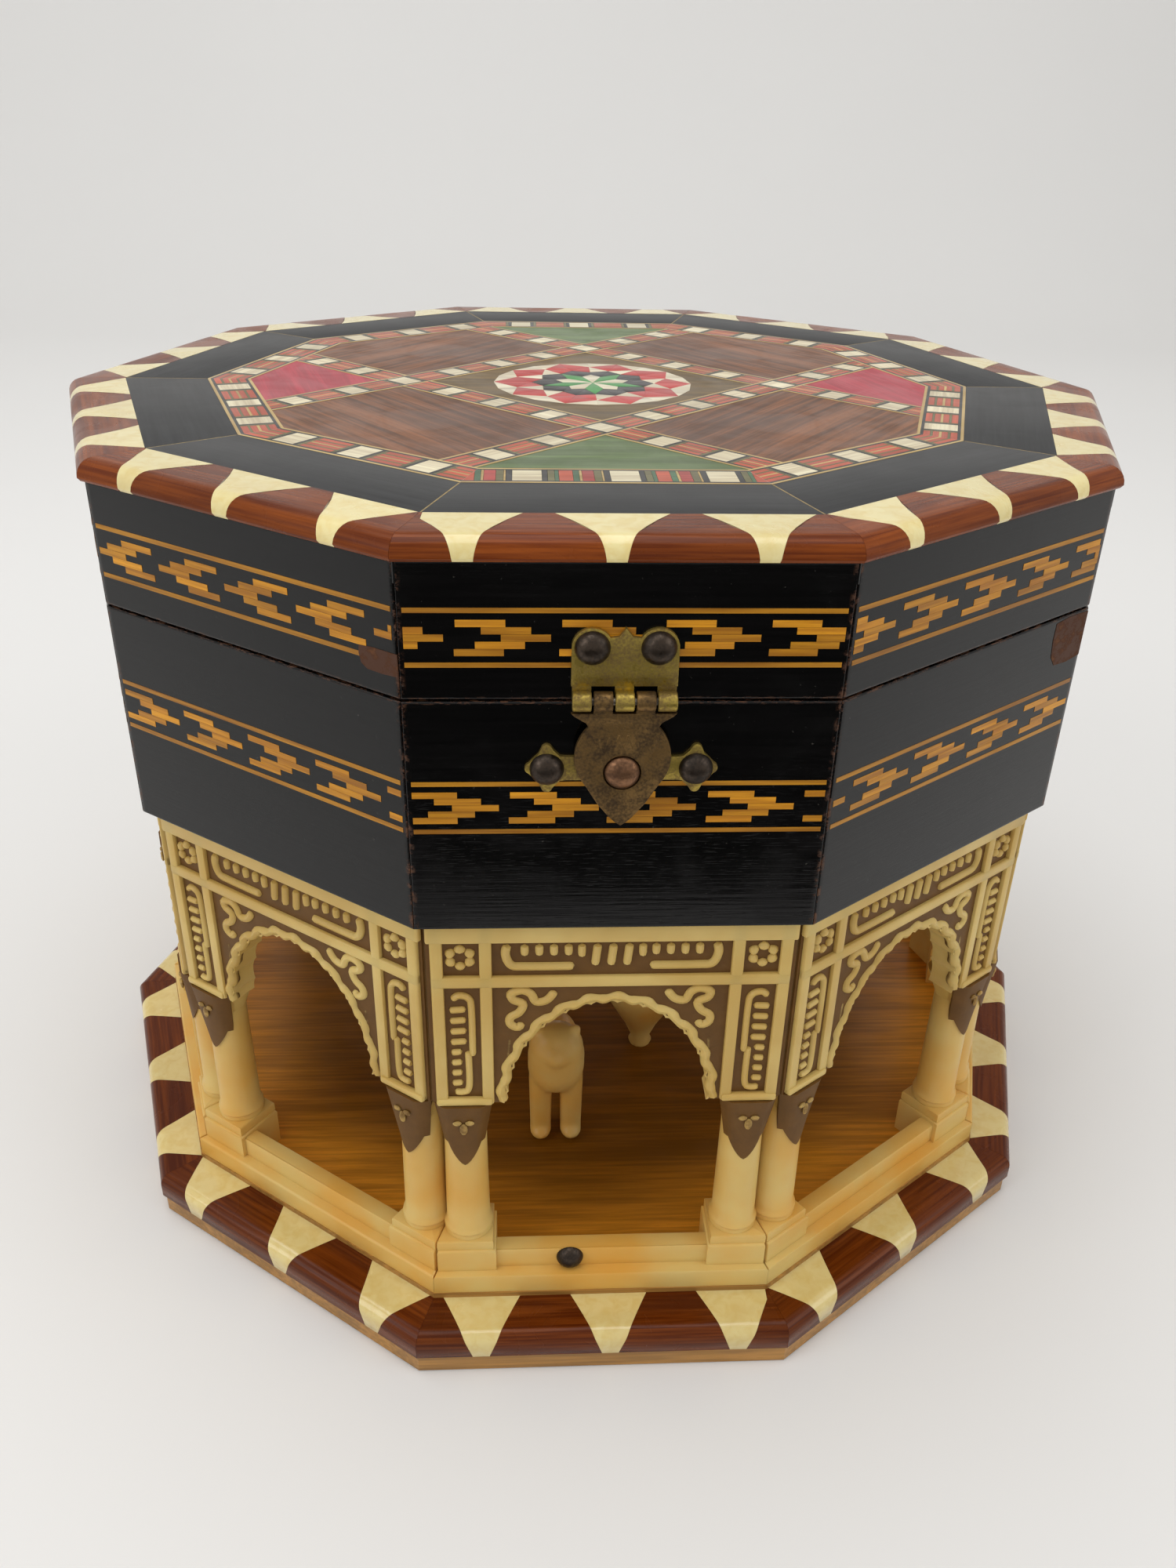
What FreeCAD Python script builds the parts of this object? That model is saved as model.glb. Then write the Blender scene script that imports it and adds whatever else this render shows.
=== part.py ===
"""Ten-sided inlaid box: a hinged marquetry lid on a lacquered box, carried by an arcaded court.

Frame: millimetres, +Z up, origin on the ground under the middle of the base.  The front wall,
with the hasp, faces -Y, and the lid hinges on the back wall.  Every side is drawn as the front
one and turned about Z to its place.
"""
import FreeCAD
import Part
import Sketcher
import math
import os
import re

SIDES = 10
TURN = 360.0 / SIDES
MITRE = TURN / 2
BACK = SIDES // 2
ARCH_LOBES = 13
WEDGES_PER_SIDE = 3

SIZES = [
    ("wall_apothem", 90.0, "middle to the outer face of a wall"),
    ("wall_thickness", 6.0, "wall staves"),
    ("box_wall_height", 36.5, "box staves"),
    ("lid_wall_height", 16.0, "lid staves"),
    ("lid_gap", 0.3, "parting line between box and lid"),
    ("band_height", 7.6, "marquetry band let into the walls"),
    ("band_depth", 0.8, "depth of the groove that takes the band"),
    ("box_band_drop", 13.5, "band below the top of the box staves"),
    ("lid_band_rise", 4.6, "band above the foot of the lid staves"),
    ("lid_lip_height", 3.0, "edge of the lid board, level with the staves"),
    ("lid_core_height", 2.0, "raised middle of the lid board"),
    ("veneer_thickness", 1.3, "veneers on the lid"),
    ("lid_rim_width", 9.0, "lid rim inside the wall face"),
    ("lid_rim_overhang", 1.0, "lid rim outside the wall face"),
    ("lid_rim_round", 1.6, "rounded outer edge of the lid rim"),
    ("lid_wedge_root", 13.0, "pale wedge at the inner edge of the lid rim"),
    ("lid_wedge_tip", 3.6, "pale wedge at the outer edge of the lid rim"),
    ("lid_wedge_pitch", 19.4, "from wedge to wedge"),
    ("border_width", 13.0, "black border of the lid"),
    ("banding_width", 6.2, "inlaid banding of the lid"),
    ("medallion_margin", 1.0, "round medallion of the lid inside the crossing bandings"),
    ("floor_thickness", 4.0, "floor of the box"),
    ("lining_thickness", 1.0, "felt lining"),
    ("lining_drop", 1.5, "top of the lining below the parting line"),
    ("base_rim_width", 7.6, "edge of the base board beyond the court platform"),
    ("base_plate_height", 3.5, "base board under its rim"),
    ("base_rim_height", 5.5, "base rim"),
    ("base_rim_overhang", 0.6, "base rim outside the base board"),
    ("base_rim_round", 1.8, "rounded outer edge of the base rim"),
    ("base_wedge_root", 13.6, "pale wedge at the inner edge of the base rim"),
    ("base_wedge_tip", 4.2, "pale wedge at the outer edge of the base rim"),
    ("base_wedge_pitch", 20.6, "from wedge to wedge"),
    ("court_rise", 1.0, "court platform above the base rim"),
    ("court_ledge", 0.2, "court platform beyond the step of the arcade"),
    ("court_floor_thickness", 1.0, "veneered floor of the court"),
    ("court_floor_gap", 0.4, "court floor inside the plinths"),
    ("arcade_height", 77.5, "arcade panels"),
    ("panel_setback", 2.0, "face of an arcade panel behind the wall face"),
    ("panel_height", 36.0, "arcade panel above its columns"),
    ("panel_thickness", 5.5, "arcade panel above the columns"),
    ("panel_groove_width", 1.7, "groove beside each panel corner"),
    ("panel_groove_depth", 1.6, "depth of that groove"),
    ("relief_depth", 0.9, "sunk grounds of the panel"),
    ("rail_width", 2.0, "raised rails of the panel"),
    ("frieze_height", 6.8, "sunk ground of the frieze"),
    ("side_field_width", 5.5, "sunk ground beside the arch"),
    ("arch_inset", 6.3, "arch opening inside the column axis"),
    ("arch_rise", 20.7, "arch opening above its springing"),
    ("lobe_depth", 1.1, "one lobe of the arch opening"),
    ("archivolt_width", 2.6, "raised band round the arch"),
    ("archivolt_bow", 0.2, "outer edge of that band, from one lobe to the next"),
    ("column_inset", 6.3, "column axis from the corner of the panel"),
    ("column_setback", 4.1, "column axis behind the panel face"),
    ("column_radius", 4.0, "column shaft"),
    ("column_ring", 0.5, "foot and capital of a column beyond the shaft"),
    ("ring_height", 1.2, "foot ring of a column"),
    ("capital_height", 11.5, "capital of a column"),
    ("plinth_height", 10.5, "top of the column plinth above the foot"),
    ("plinth_width", 9.6, "column plinth"),
    ("plinth_front", 0.9, "column plinth beyond the panel face"),
    ("sill_height", 11.4, "sill between the plinths"),
    ("sill_thickness", 3.0, "sill between the plinths"),
    ("step_height", 4.0, "lower step of the sill"),
    ("step_front", 2.2, "lower step beyond the panel face"),
    ("plate_thickness", 0.7, "sheet brass"),
    ("hasp_half_width", 7.0, "hasp plate"),
    ("hasp_height", 9.8, "hasp plate above its pin"),
    ("hasp_nail_spread", 4.3, "middle of the hasp to a nail"),
    ("hasp_nail_rise", 7.1, "nail above the hasp pin"),
    ("hasp_axis_rise", 0.5, "hasp pin above the foot of the lid"),
    ("hasp_axis_front", 1.65, "hasp pin in front of the wall"),
    ("knuckle_radius", 1.35, "hasp knuckles"),
    ("pin_radius", 0.55, "hasp and hinge pins"),
    ("pin_clearance", 0.05, "round a pin"),
    ("knuckle_gap", 0.3, "between one knuckle and the next"),
    ("flap_radius", 6.5, "round of the hasp flap"),
    ("flap_drop", 8.2, "middle of that round below the pin"),
    ("flap_length", 18.8, "tip of the flap below the pin"),
    ("flap_tip_radius", 1.9, "rounded tip of the flap"),
    ("stud_drop", 10.5, "catch stud below the pin"),
    ("stud_radius", 2.1, "catch stud"),
    ("stud_length", 3.0, "catch stud from the wall"),
    ("stud_clearance", 0.45, "round the stud in the flap"),
    ("catch_nail_spread", 10.1, "middle of the catch to a nail"),
    ("catch_ear", 2.6, "ears of the catch plate"),
    ("catch_bar", 1.8, "half height of the catch plate"),
    ("hinge_spread", 15.0, "middle of the back to a hinge"),
    ("hinge_half_width", 8.0, "hinge leaf"),
    ("hinge_height", 9.0, "hinge leaf from its pin"),
    ("hinge_axis_back", 1.9, "hinge pin behind the wall"),
    ("hinge_knuckle_radius", 1.5, "hinge knuckles"),
    ("hinge_nail_spread", 4.6, "middle of a hinge to a nail"),
    ("hinge_nail_rise", 5.8, "hinge nail from the pin"),
    ("nail_head_radius", 2.2, "domed nail heads of hasp, catch and sill"),
    ("nail_head_height", 1.7, "domed nail heads of hasp, catch and sill"),
    ("hinge_nail_radius", 1.3, "flat nail heads of the hinges"),
    ("hinge_nail_height", 0.6, "flat nail heads of the hinges"),
    ("nail_shank_radius", 0.6, "nail shanks"),
    ("nail_shank_length", 3.5, "nail shanks behind the wall face"),
    ("nail_clearance", 0.05, "round a nail shank"),
    ("sill_nail_rise", 7.6, "sill nail above the foot of the panel"),
    ("sill_nail_offset", 5.6, "sill nail left of the middle"),
    ("lion_across", 7.2, "lion left of the middle"),
    ("lion_forward", 54.0, "front paws of the lion before the middle"),
    ("lion_leg_height", 11.0, "legs of the lion"),
    ("lion_leg_radius", 1.9, "legs of the lion"),
    ("lion_leg_spread", 3.1, "middle of the lion to a leg"),
    ("lion_body_radius", 4.9, "body of the lion"),
    ("lion_body_length", 17.0, "body of the lion"),
    ("lion_mane_radius", 5.6, "head and mane of the lion"),
    ("fountain_across", 12.0, "fountain right of the middle"),
    ("fountain_forward", 26.0, "fountain before the middle"),
    ("fountain_height", 18.0, "fountain bowl"),
    ("fountain_radius", 9.0, "fountain bowl"),
    ("fountain_foot", 2.2, "foot of the fountain bowl"),
    ("fountain_lip", 1.2, "lip of the fountain bowl"),
]

ALIASES = re.compile(r"\b(" + "|".join(name for name, _, _ in SIZES) + r")\b")

# Heights above the ground and reaches from the middle, as expressions of the sizes
COURT_Z = "(base_plate_height + base_rim_height + court_rise)"
BOX_Z = f"({COURT_Z} + arcade_height)"
BOX_TOP_Z = f"({BOX_Z} + box_wall_height)"
LID_Z = f"({BOX_TOP_Z} + lid_gap)"
LID_BOARD_Z = f"({LID_Z} + lid_wall_height)"
LID_RIM_Z = f"({LID_BOARD_Z} + lid_lip_height)"
VENEER_Z = f"({LID_RIM_Z} + lid_core_height)"
LID_AXIS_Z = f"({BOX_TOP_Z} + lid_gap / 2)"
HASP_AXIS_Z = f"({LID_Z} + hasp_axis_rise)"
BOX_BAND_Z = f"({BOX_TOP_Z} - box_band_drop - band_height)"
LID_BAND_Z = f"({LID_Z} + lid_band_rise)"
FIELD_REACH = "(wall_apothem - lid_rim_width)"
BANDING_REACH = f"({FIELD_REACH} - border_width)"
PANELS_REACH = f"({BANDING_REACH} - banding_width)"
INNER_WALL = "(wall_apothem - wall_thickness)"
CHORD = f"({BANDING_REACH} / cos({MITRE}) * cos({2 * TURN}))"
PANEL_TOP_Z = f"({COURT_Z} + arcade_height)"
ARCH_Z = f"({PANEL_TOP_Z} - panel_height)"
PANEL_REACH = "(wall_apothem - panel_setback)"
PLINTH_BACK = f"({PANEL_REACH} - column_setback - column_radius - column_ring)"
COURT_REACH = f"({PANEL_REACH} + step_front + court_ledge)"
BASE_REACH = f"({COURT_REACH} + base_rim_width)"
COLUMN_X = f"({PANEL_REACH} * tan({MITRE}) - column_inset)"
ARCH_X = f"({COLUMN_X} - arch_inset)"

doc = FreeCAD.newDocument("InlaidBox")
sheet = doc.addObject("Spreadsheet::Sheet", "Sizes")
for row, (alias, number, meaning) in enumerate(SIZES, start=1):
    sheet.set(f"A{row}", meaning)
    sheet.set(f"B{row}", str(number))
    sheet.setAlias(f"B{row}", alias)
doc.recompute()

nodes = {}


def in_sheet(text):
    """Turn the sizes named in an expression into cells of the sheet."""
    return ALIASES.sub(r"Sizes.\1", str(text))


def value(text):
    """Number that an expression of the sizes gives now."""
    return float(sheet.evalExpression(in_sheet(text)))


def bind(item, prop, text):
    """Tie a property of a document object to an expression of the sizes."""
    item.setExpression(prop, in_sheet(text))


def across(reach):
    """Half the side of the decagon whose sides lie that far from the middle."""
    return f"({reach}) * tan({MITRE})"


def node(item, label):
    """Keep a document object as a finished sub-part."""
    item.Label = label
    nodes[label] = item
    return item


def turned(side):
    """Placement that turns the front side to the side with this number."""
    return FreeCAD.Placement(FreeCAD.Vector(), FreeCAD.Rotation(FreeCAD.Vector(0, 0, 1), side * TURN))


def new_body(name):
    return doc.addObject("PartDesign::Body", name)


def new_sketch(body, name, role, offset="0", along="0"):
    """Sketch on a plane of the body's own origin, moved along the plane's normal and its first axis."""
    sketch = body.newObject("Sketcher::SketchObject", name)
    plane = [feature for feature in body.Origin.OriginFeatures if feature.Role == role][0]
    sketch.AttachmentSupport = [(plane, "")]
    sketch.MapMode = "FlatFace"
    bind(sketch, "AttachmentOffset.Base.z", offset)
    bind(sketch, "AttachmentOffset.Base.x", along)
    return sketch


def fix(sketch, kind, geometry, point, text):
    """Hold one coordinate of a point at an expression of the sizes."""
    number = value(text)
    axis = -2 if kind == "DistanceX" else -1
    if str(text) == "0":
        sketch.addConstraint(Sketcher.Constraint("PointOnObject", geometry, point, axis))
        return
    index = sketch.addConstraint(Sketcher.Constraint(kind, -1, 1, geometry, point, number))
    bind(sketch, f"Constraints[{index}]", text)


def contour(sketch, corners):
    """Add one closed outline to a sketch.

    Each corner is (x, y) where a straight edge follows, or (x, y, radius) where an arc follows.
    An arc runs anticlockwise to the next corner, or clockwise where the radius starts with a minus.
    """
    spots = [FreeCAD.Vector(value(corner[0]), value(corner[1]), 0) for corner in corners]
    starts = []
    ends = []
    for index, corner in enumerate(corners):
        here = spots[index]
        there = spots[(index + 1) % len(corners)]
        if len(corner) == 2:
            edge = sketch.addGeometry(Part.LineSegment(here, there))
            starts.append((edge, 1))
            ends.append((edge, 2))
            continue
        clockwise = corner[2].startswith("-")
        radius = corner[2].lstrip("-")
        chord = there - here
        left = FreeCAD.Vector(-chord.y, chord.x, 0).normalize()
        depth = math.sqrt(value(radius) ** 2 - (chord.Length / 2) ** 2)
        bulge = left * (depth - value(radius))
        middle = (here + there) / 2 + (bulge * -1 if clockwise else bulge)
        edge = sketch.addGeometry(Part.Arc(here, middle, there))
        starts.append((edge, 2 if clockwise else 1))
        ends.append((edge, 1 if clockwise else 2))
        limit = sketch.addConstraint(Sketcher.Constraint("Radius", edge, value(radius)))
        bind(sketch, f"Constraints[{limit}]", radius)
    for index, corner in enumerate(corners):
        sketch.addConstraint(Sketcher.Constraint("Coincident", *ends[index - 1], *starts[index]))
        fix(sketch, "DistanceX", *starts[index], corner[0])
        fix(sketch, "DistanceY", *starts[index], corner[1])


def circle(sketch, x, y, radius):
    """Add one circle to a sketch."""
    centre = FreeCAD.Vector(value(x), value(y), 0)
    edge = sketch.addGeometry(Part.Circle(centre, FreeCAD.Vector(0, 0, 1), value(radius)))
    limit = sketch.addConstraint(Sketcher.Constraint("Radius", edge, value(radius)))
    bind(sketch, f"Constraints[{limit}]", radius)
    fix(sketch, "DistanceX", edge, 3, x)
    fix(sketch, "DistanceY", edge, 3, y)


def box_corners(x0, x1, y0, y1):
    return [(x0, y0), (x1, y0), (x1, y1), (x0, y1)]


def decagon(reach):
    """Corners of a decagon with one side towards the front."""
    radius = f"({reach}) / cos({MITRE})"
    angles = [-90 + MITRE + TURN * corner for corner in range(SIDES)]
    return [(f"{radius} * cos({angle})", f"{radius} * sin({angle})") for angle in angles]


def stave(outer, inner):
    """Corners of a mitred strip on the front side, between two reaches from the middle."""
    return [
        (f"-{across(outer)}", f"-({outer})"),
        (across(outer), f"-({outer})"),
        (across(inner), f"-({inner})"),
        (f"-{across(inner)}", f"-({inner})"),
    ]


def pad(body, sketch, length, name, down=False):
    feature = body.newObject("PartDesign::Pad", name)
    feature.Profile = sketch
    bind(feature, "Length", length)
    feature.Reversed = down
    return feature


def cut(body, sketch, depth, name, flipped=False):
    """Pocket of a given depth; it has to take material away."""
    doc.recompute()
    before = body.Shape.Volume
    feature = body.newObject("PartDesign::Pocket", name)
    feature.Profile = sketch
    feature.Reversed = flipped
    bind(feature, "Length", depth)
    doc.recompute()
    if body.Shape.Volume >= before:
        raise RuntimeError(f"{name} cuts nothing")
    return feature


def cut_through(body, sketch, name):
    """Pocket both ways through the whole body; it has to take material away."""
    doc.recompute()
    before = body.Shape.Volume
    feature = body.newObject("PartDesign::Pocket", name)
    feature.Profile = sketch
    feature.Type = 1
    feature.Midplane = True
    doc.recompute()
    if body.Shape.Volume >= before:
        raise RuntimeError(f"{name} cuts nothing")
    return feature


def round_off(body, edges, radius, name):
    """Fillet on edges of the body as it stands."""
    solid = body.Tip
    feature = body.newObject("PartDesign::Fillet", name)
    feature.Base = (solid, edges)
    bind(feature, "Radius", radius)


def prism(name, corners, foot, height):
    """Body with one upright pad on a flat outline."""
    body = new_body(name)
    sketch = new_sketch(body, name + "Plan", "XY_Plane", foot)
    contour(sketch, corners)
    pad(body, sketch, height, name + "Pad")
    return body


def group(label, shapes):
    """Sub-part of several separate solids."""
    item = doc.addObject("Part::Feature", label)
    item.Shape = Part.makeCompound(shapes)
    return node(item, label)


def all_round(shape):
    """Copies of a front shape on every side."""
    copies = []
    for side in range(SIDES):
        copy = shape.copy()
        copy.Placement = turned(side).multiply(shape.Placement)
        copies.append(copy)
    return copies


def nail_holes(body, name, places, reach):
    """Blind holes for nail shanks in the outer face; each place is (x, z)."""
    sketch = new_sketch(body, name, "XZ_Plane", reach)
    for x, z in places:
        circle(sketch, x, z, "nail_shank_radius + nail_clearance")
    cut(body, sketch, "nail_shank_length + nail_clearance", name + "Cut")


HASP_NAILS = [(f"{sign}hasp_nail_spread", f"{HASP_AXIS_Z} + hasp_nail_rise") for sign in ("-", "")]
CATCH_Z = f"({HASP_AXIS_Z} - stud_drop)"
CATCH_NAILS = [(f"{sign}catch_nail_spread", CATCH_Z) for sign in ("-", "")]
SILL_NAIL = ("-sill_nail_offset", f"{COURT_Z} + sill_nail_rise")


def wall(label, side, foot, height, band_foot, nails):
    """Mitred stave with a groove for its marquetry band, and nail holes where hardware sits."""
    body = prism(label, stave("wall_apothem", INNER_WALL), foot, height)
    groove = new_sketch(body, label + "Groove", "YZ_Plane")
    contour(groove, box_corners("-wall_apothem - band_depth", "-(wall_apothem - band_depth)",
                                band_foot, f"{band_foot} + band_height"))
    cut_through(body, groove, label + "GrooveCut")
    if nails:
        nail_holes(body, label + "Holes", nails, "wall_apothem")
    body.Placement = turned(side)
    node(body, label)


def make_walls():
    lid_nails = {0: HASP_NAILS}
    box_nails = {0: CATCH_NAILS}
    for side in range(SIDES):
        number = f"{side + 1:02d}"
        wall("lid_wall_" + number, side, LID_Z, "lid_wall_height", LID_BAND_Z, lid_nails.get(side))
        wall("box_wall_" + number, side, BOX_Z, "box_wall_height", BOX_BAND_Z, box_nails.get(side))


def make_bands():
    """Marquetry strips that fill the grooves of the staves."""
    strip = stave("wall_apothem", "wall_apothem - band_depth")
    lid_band = prism("lid_band_strip", strip, LID_BAND_Z, "band_height")
    box_band = prism("box_band_strip", strip, BOX_BAND_Z, "band_height")
    doc.recompute()
    lid_strips = all_round(lid_band.Shape)
    drills = []
    for x, z in HASP_NAILS:
        spot = FreeCAD.Vector(value(x), -value("wall_apothem"), value(z))
        reach = value("nail_shank_length + nail_clearance")
        radius = value("nail_shank_radius + nail_clearance")
        drills.append(Part.makeCylinder(radius, reach, spot, FreeCAD.Vector(0, 1, 0)))
    lid_strips[0] = lid_strips[0].cut(Part.makeCompound(drills))
    group("lid_marquetry_bands", lid_strips)
    group("box_marquetry_bands", all_round(box_band.Shape))


def rim(label, reach_out, reach_in, foot, height, round_edge, wedge):
    """Rim of a board: dark moulding with pale wedges let in, mitred at the corners."""
    strip = prism(label + "_strip", stave(reach_out, reach_in), foot, height)
    doc.recompute()
    top = value(f"{foot} + {height}")
    front = -value(reach_out)
    edges = [f"Edge{index}" for index, edge in enumerate(strip.Shape.Edges, start=1)
             if abs(edge.CenterOfMass.y - front) < 1e-6 and abs(edge.CenterOfMass.z - top) < 1e-6]
    round_off(strip, edges, round_edge, label + "_round")
    wedges = []
    for step in range(WEDGES_PER_SIDE):
        middle = f"({step - (WEDGES_PER_SIDE - 1) / 2} * {wedge}_pitch)"
        corners = [
            (f"{middle} - {wedge}_tip / 2", f"-({reach_out})"),
            (f"{middle} + {wedge}_tip / 2", f"-({reach_out})"),
            (f"{middle} + {wedge}_root / 2", f"-({reach_in})"),
            (f"{middle} - {wedge}_root / 2", f"-({reach_in})"),
        ]
        wedges.append(prism(f"{label}_wedge{step + 1}", corners, foot, height))
    slots = doc.addObject("Part::Compound", label + "_slots")
    slots.Links = wedges
    dark = doc.addObject("Part::Cut", label + "_dark")
    dark.Base = strip
    dark.Tool = slots
    pale = doc.addObject("Part::Common", label + "_pale")
    pale.Base = strip
    pale.Tool = slots
    doc.recompute()
    group(label + "_mouldings", [copy for solid in dark.Shape.Solids for copy in all_round(solid)])
    group(label + "_wedges", [copy for solid in pale.Shape.Solids for copy in all_round(solid)])


def make_rims():
    rim("lid_rim", "(wall_apothem + lid_rim_overhang)", FIELD_REACH, LID_RIM_Z,
        "(lid_core_height + veneer_thickness)", "lid_rim_round", "lid_wedge")
    rim("base_rim", f"({BASE_REACH} + base_rim_overhang)", COURT_REACH, "base_plate_height",
        "base_rim_height", "base_rim_round", "base_wedge")


def make_boards():
    """Base board with its court platform, box floor, lid board and the felt linings."""
    base = prism("base_board", decagon(BASE_REACH), "0", "base_plate_height")
    platform = new_sketch(base, "CourtPlan", "XY_Plane", "base_plate_height")
    contour(platform, decagon(COURT_REACH))
    pad(base, platform, "base_rim_height + court_rise", "CourtPlatform")
    node(base, "base_board")
    court = decagon(f"{PLINTH_BACK} - court_floor_gap")
    node(prism("court_floor", court, COURT_Z, "court_floor_thickness"), "court_floor")
    node(prism("box_floor", decagon(INNER_WALL), BOX_Z, "floor_thickness"), "box_floor")

    tray_z = f"({BOX_Z} + floor_thickness)"
    tray = prism("box_lining", decagon(INNER_WALL), tray_z, f"{BOX_TOP_Z} - lining_drop - {tray_z}")
    hollow = new_sketch(tray, "LiningHollow", "XY_Plane", f"{BOX_TOP_Z} - lining_drop")
    contour(hollow, decagon(f"{INNER_WALL} - lining_thickness"))
    cut(tray, hollow, f"{BOX_TOP_Z} - lining_drop - {tray_z} - lining_thickness", "LiningHollowCut")
    node(tray, "box_lining")

    board = prism("lid_top_board", decagon("wall_apothem"), LID_BOARD_Z, "lid_lip_height")
    core = new_sketch(board, "LidCorePlan", "XY_Plane", LID_RIM_Z)
    contour(core, decagon(FIELD_REACH))
    pad(board, core, "lid_core_height", "LidCore")
    node(board, "lid_top_board")
    node(prism("lid_lining", decagon(INNER_WALL), f"{LID_BOARD_Z} - lining_thickness", "lining_thickness"),
         "lid_lining")


def chord_strip(name, angle):
    """Straight banding across the lid, its middle line one chord away from the centre."""
    strip = doc.addObject("Part::Box", name)
    bind(strip, "Length", "banding_width")
    bind(strip, "Width", f"4 * {BANDING_REACH}")
    bind(strip, "Height", "veneer_thickness")
    start = value(f"{CHORD} - banding_width / 2")
    spot = FreeCAD.Vector(start, -value(f"2 * {BANDING_REACH}"), value(VENEER_Z))
    rotation = FreeCAD.Rotation(FreeCAD.Vector(0, 0, 1), angle)
    strip.Placement = FreeCAD.Placement(rotation.multVec(spot), rotation)
    return strip


def pair(name, items):
    both = doc.addObject("Part::Compound", name)
    both.Links = items
    return both


def boolean(kind, name, base, tool):
    result = doc.addObject("Part::" + kind, name)
    result.Base = base
    result.Tool = tool
    doc.recompute()
    return result


def make_lid_veneers():
    """Border, bandings and veneers of the lid: two pairs of chords part the field into nine panels."""
    border = prism("lid_border_strip", stave(FIELD_REACH, BANDING_REACH), VENEER_Z, "veneer_thickness")
    edging = prism("lid_banding_strip", stave(BANDING_REACH, PANELS_REACH), VENEER_Z, "veneer_thickness")
    field = prism("lid_field", decagon(PANELS_REACH), VENEER_Z, "veneer_thickness")
    rising = pair("rising_chords", [chord_strip("chord_a", -TURN), chord_strip("chord_b", 180 - TURN)])
    falling = pair("falling_chords", [chord_strip("chord_c", TURN), chord_strip("chord_d", 180 + TURN)])
    long_bands = boolean("Common", "long_bands", field, rising)
    crossing_bands = boolean("Common", "crossing_bands", field, falling)
    short_bands = boolean("Cut", "short_bands", crossing_bands, rising)
    halves = boolean("Cut", "field_beside_rising", field, rising)
    panels = boolean("Cut", "field_panels", halves, falling)

    group("lid_top_border", all_round(border.Shape))
    group("lid_top_banding", all_round(edging.Shape) + long_bands.Shape.Solids + short_bands.Shape.Solids)
    sorted_panels = {"brown": [], "green": [], "pink": [], "centre": []}
    near = value("banding_width")
    for solid in panels.Shape.Solids:
        spot = solid.CenterOfMass
        on_x = abs(spot.y) < near
        on_y = abs(spot.x) < near
        colour = "centre" if on_x and on_y else "pink" if on_x else "green" if on_y else "brown"
        sorted_panels[colour].append(solid)
    group("lid_brown_veneers", sorted_panels["brown"])
    group("lid_green_veneers", sorted_panels["green"])
    group("lid_pink_veneers", sorted_panels["pink"])

    medallion = doc.addObject("Part::Cylinder", "lid_medallion")
    bind(medallion, "Radius", f"{CHORD} - banding_width / 2 - medallion_margin")
    bind(medallion, "Height", "veneer_thickness")
    bind(medallion, "Placement.Base.z", VENEER_Z)
    doc.recompute()
    node(medallion, "lid_medallion")
    group("lid_centre_veneer", [solid.cut(medallion.Shape) for solid in sorted_panels["centre"]])


def arch(half_width, rise, depth):
    """Corners of a lobed arch from the right springing over the crown to the left one."""
    corners = []
    step = 180.0 / ARCH_LOBES
    for lobe in range(ARCH_LOBES):
        angle = lobe * step
        run = f"({half_width}) * (cos({angle + step}) - cos({angle}))"
        climb = f"({rise}) * (sin({angle + step}) - sin({angle}))"
        radius = f"(({run})^2 + ({climb})^2) / (8 * {depth}) + {depth} / 2"
        corners.append((f"({half_width}) * cos({angle})", f"{ARCH_Z} + ({rise}) * sin({angle})", radius))
    corners.append((f"-({half_width})", ARCH_Z))
    return corners


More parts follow.
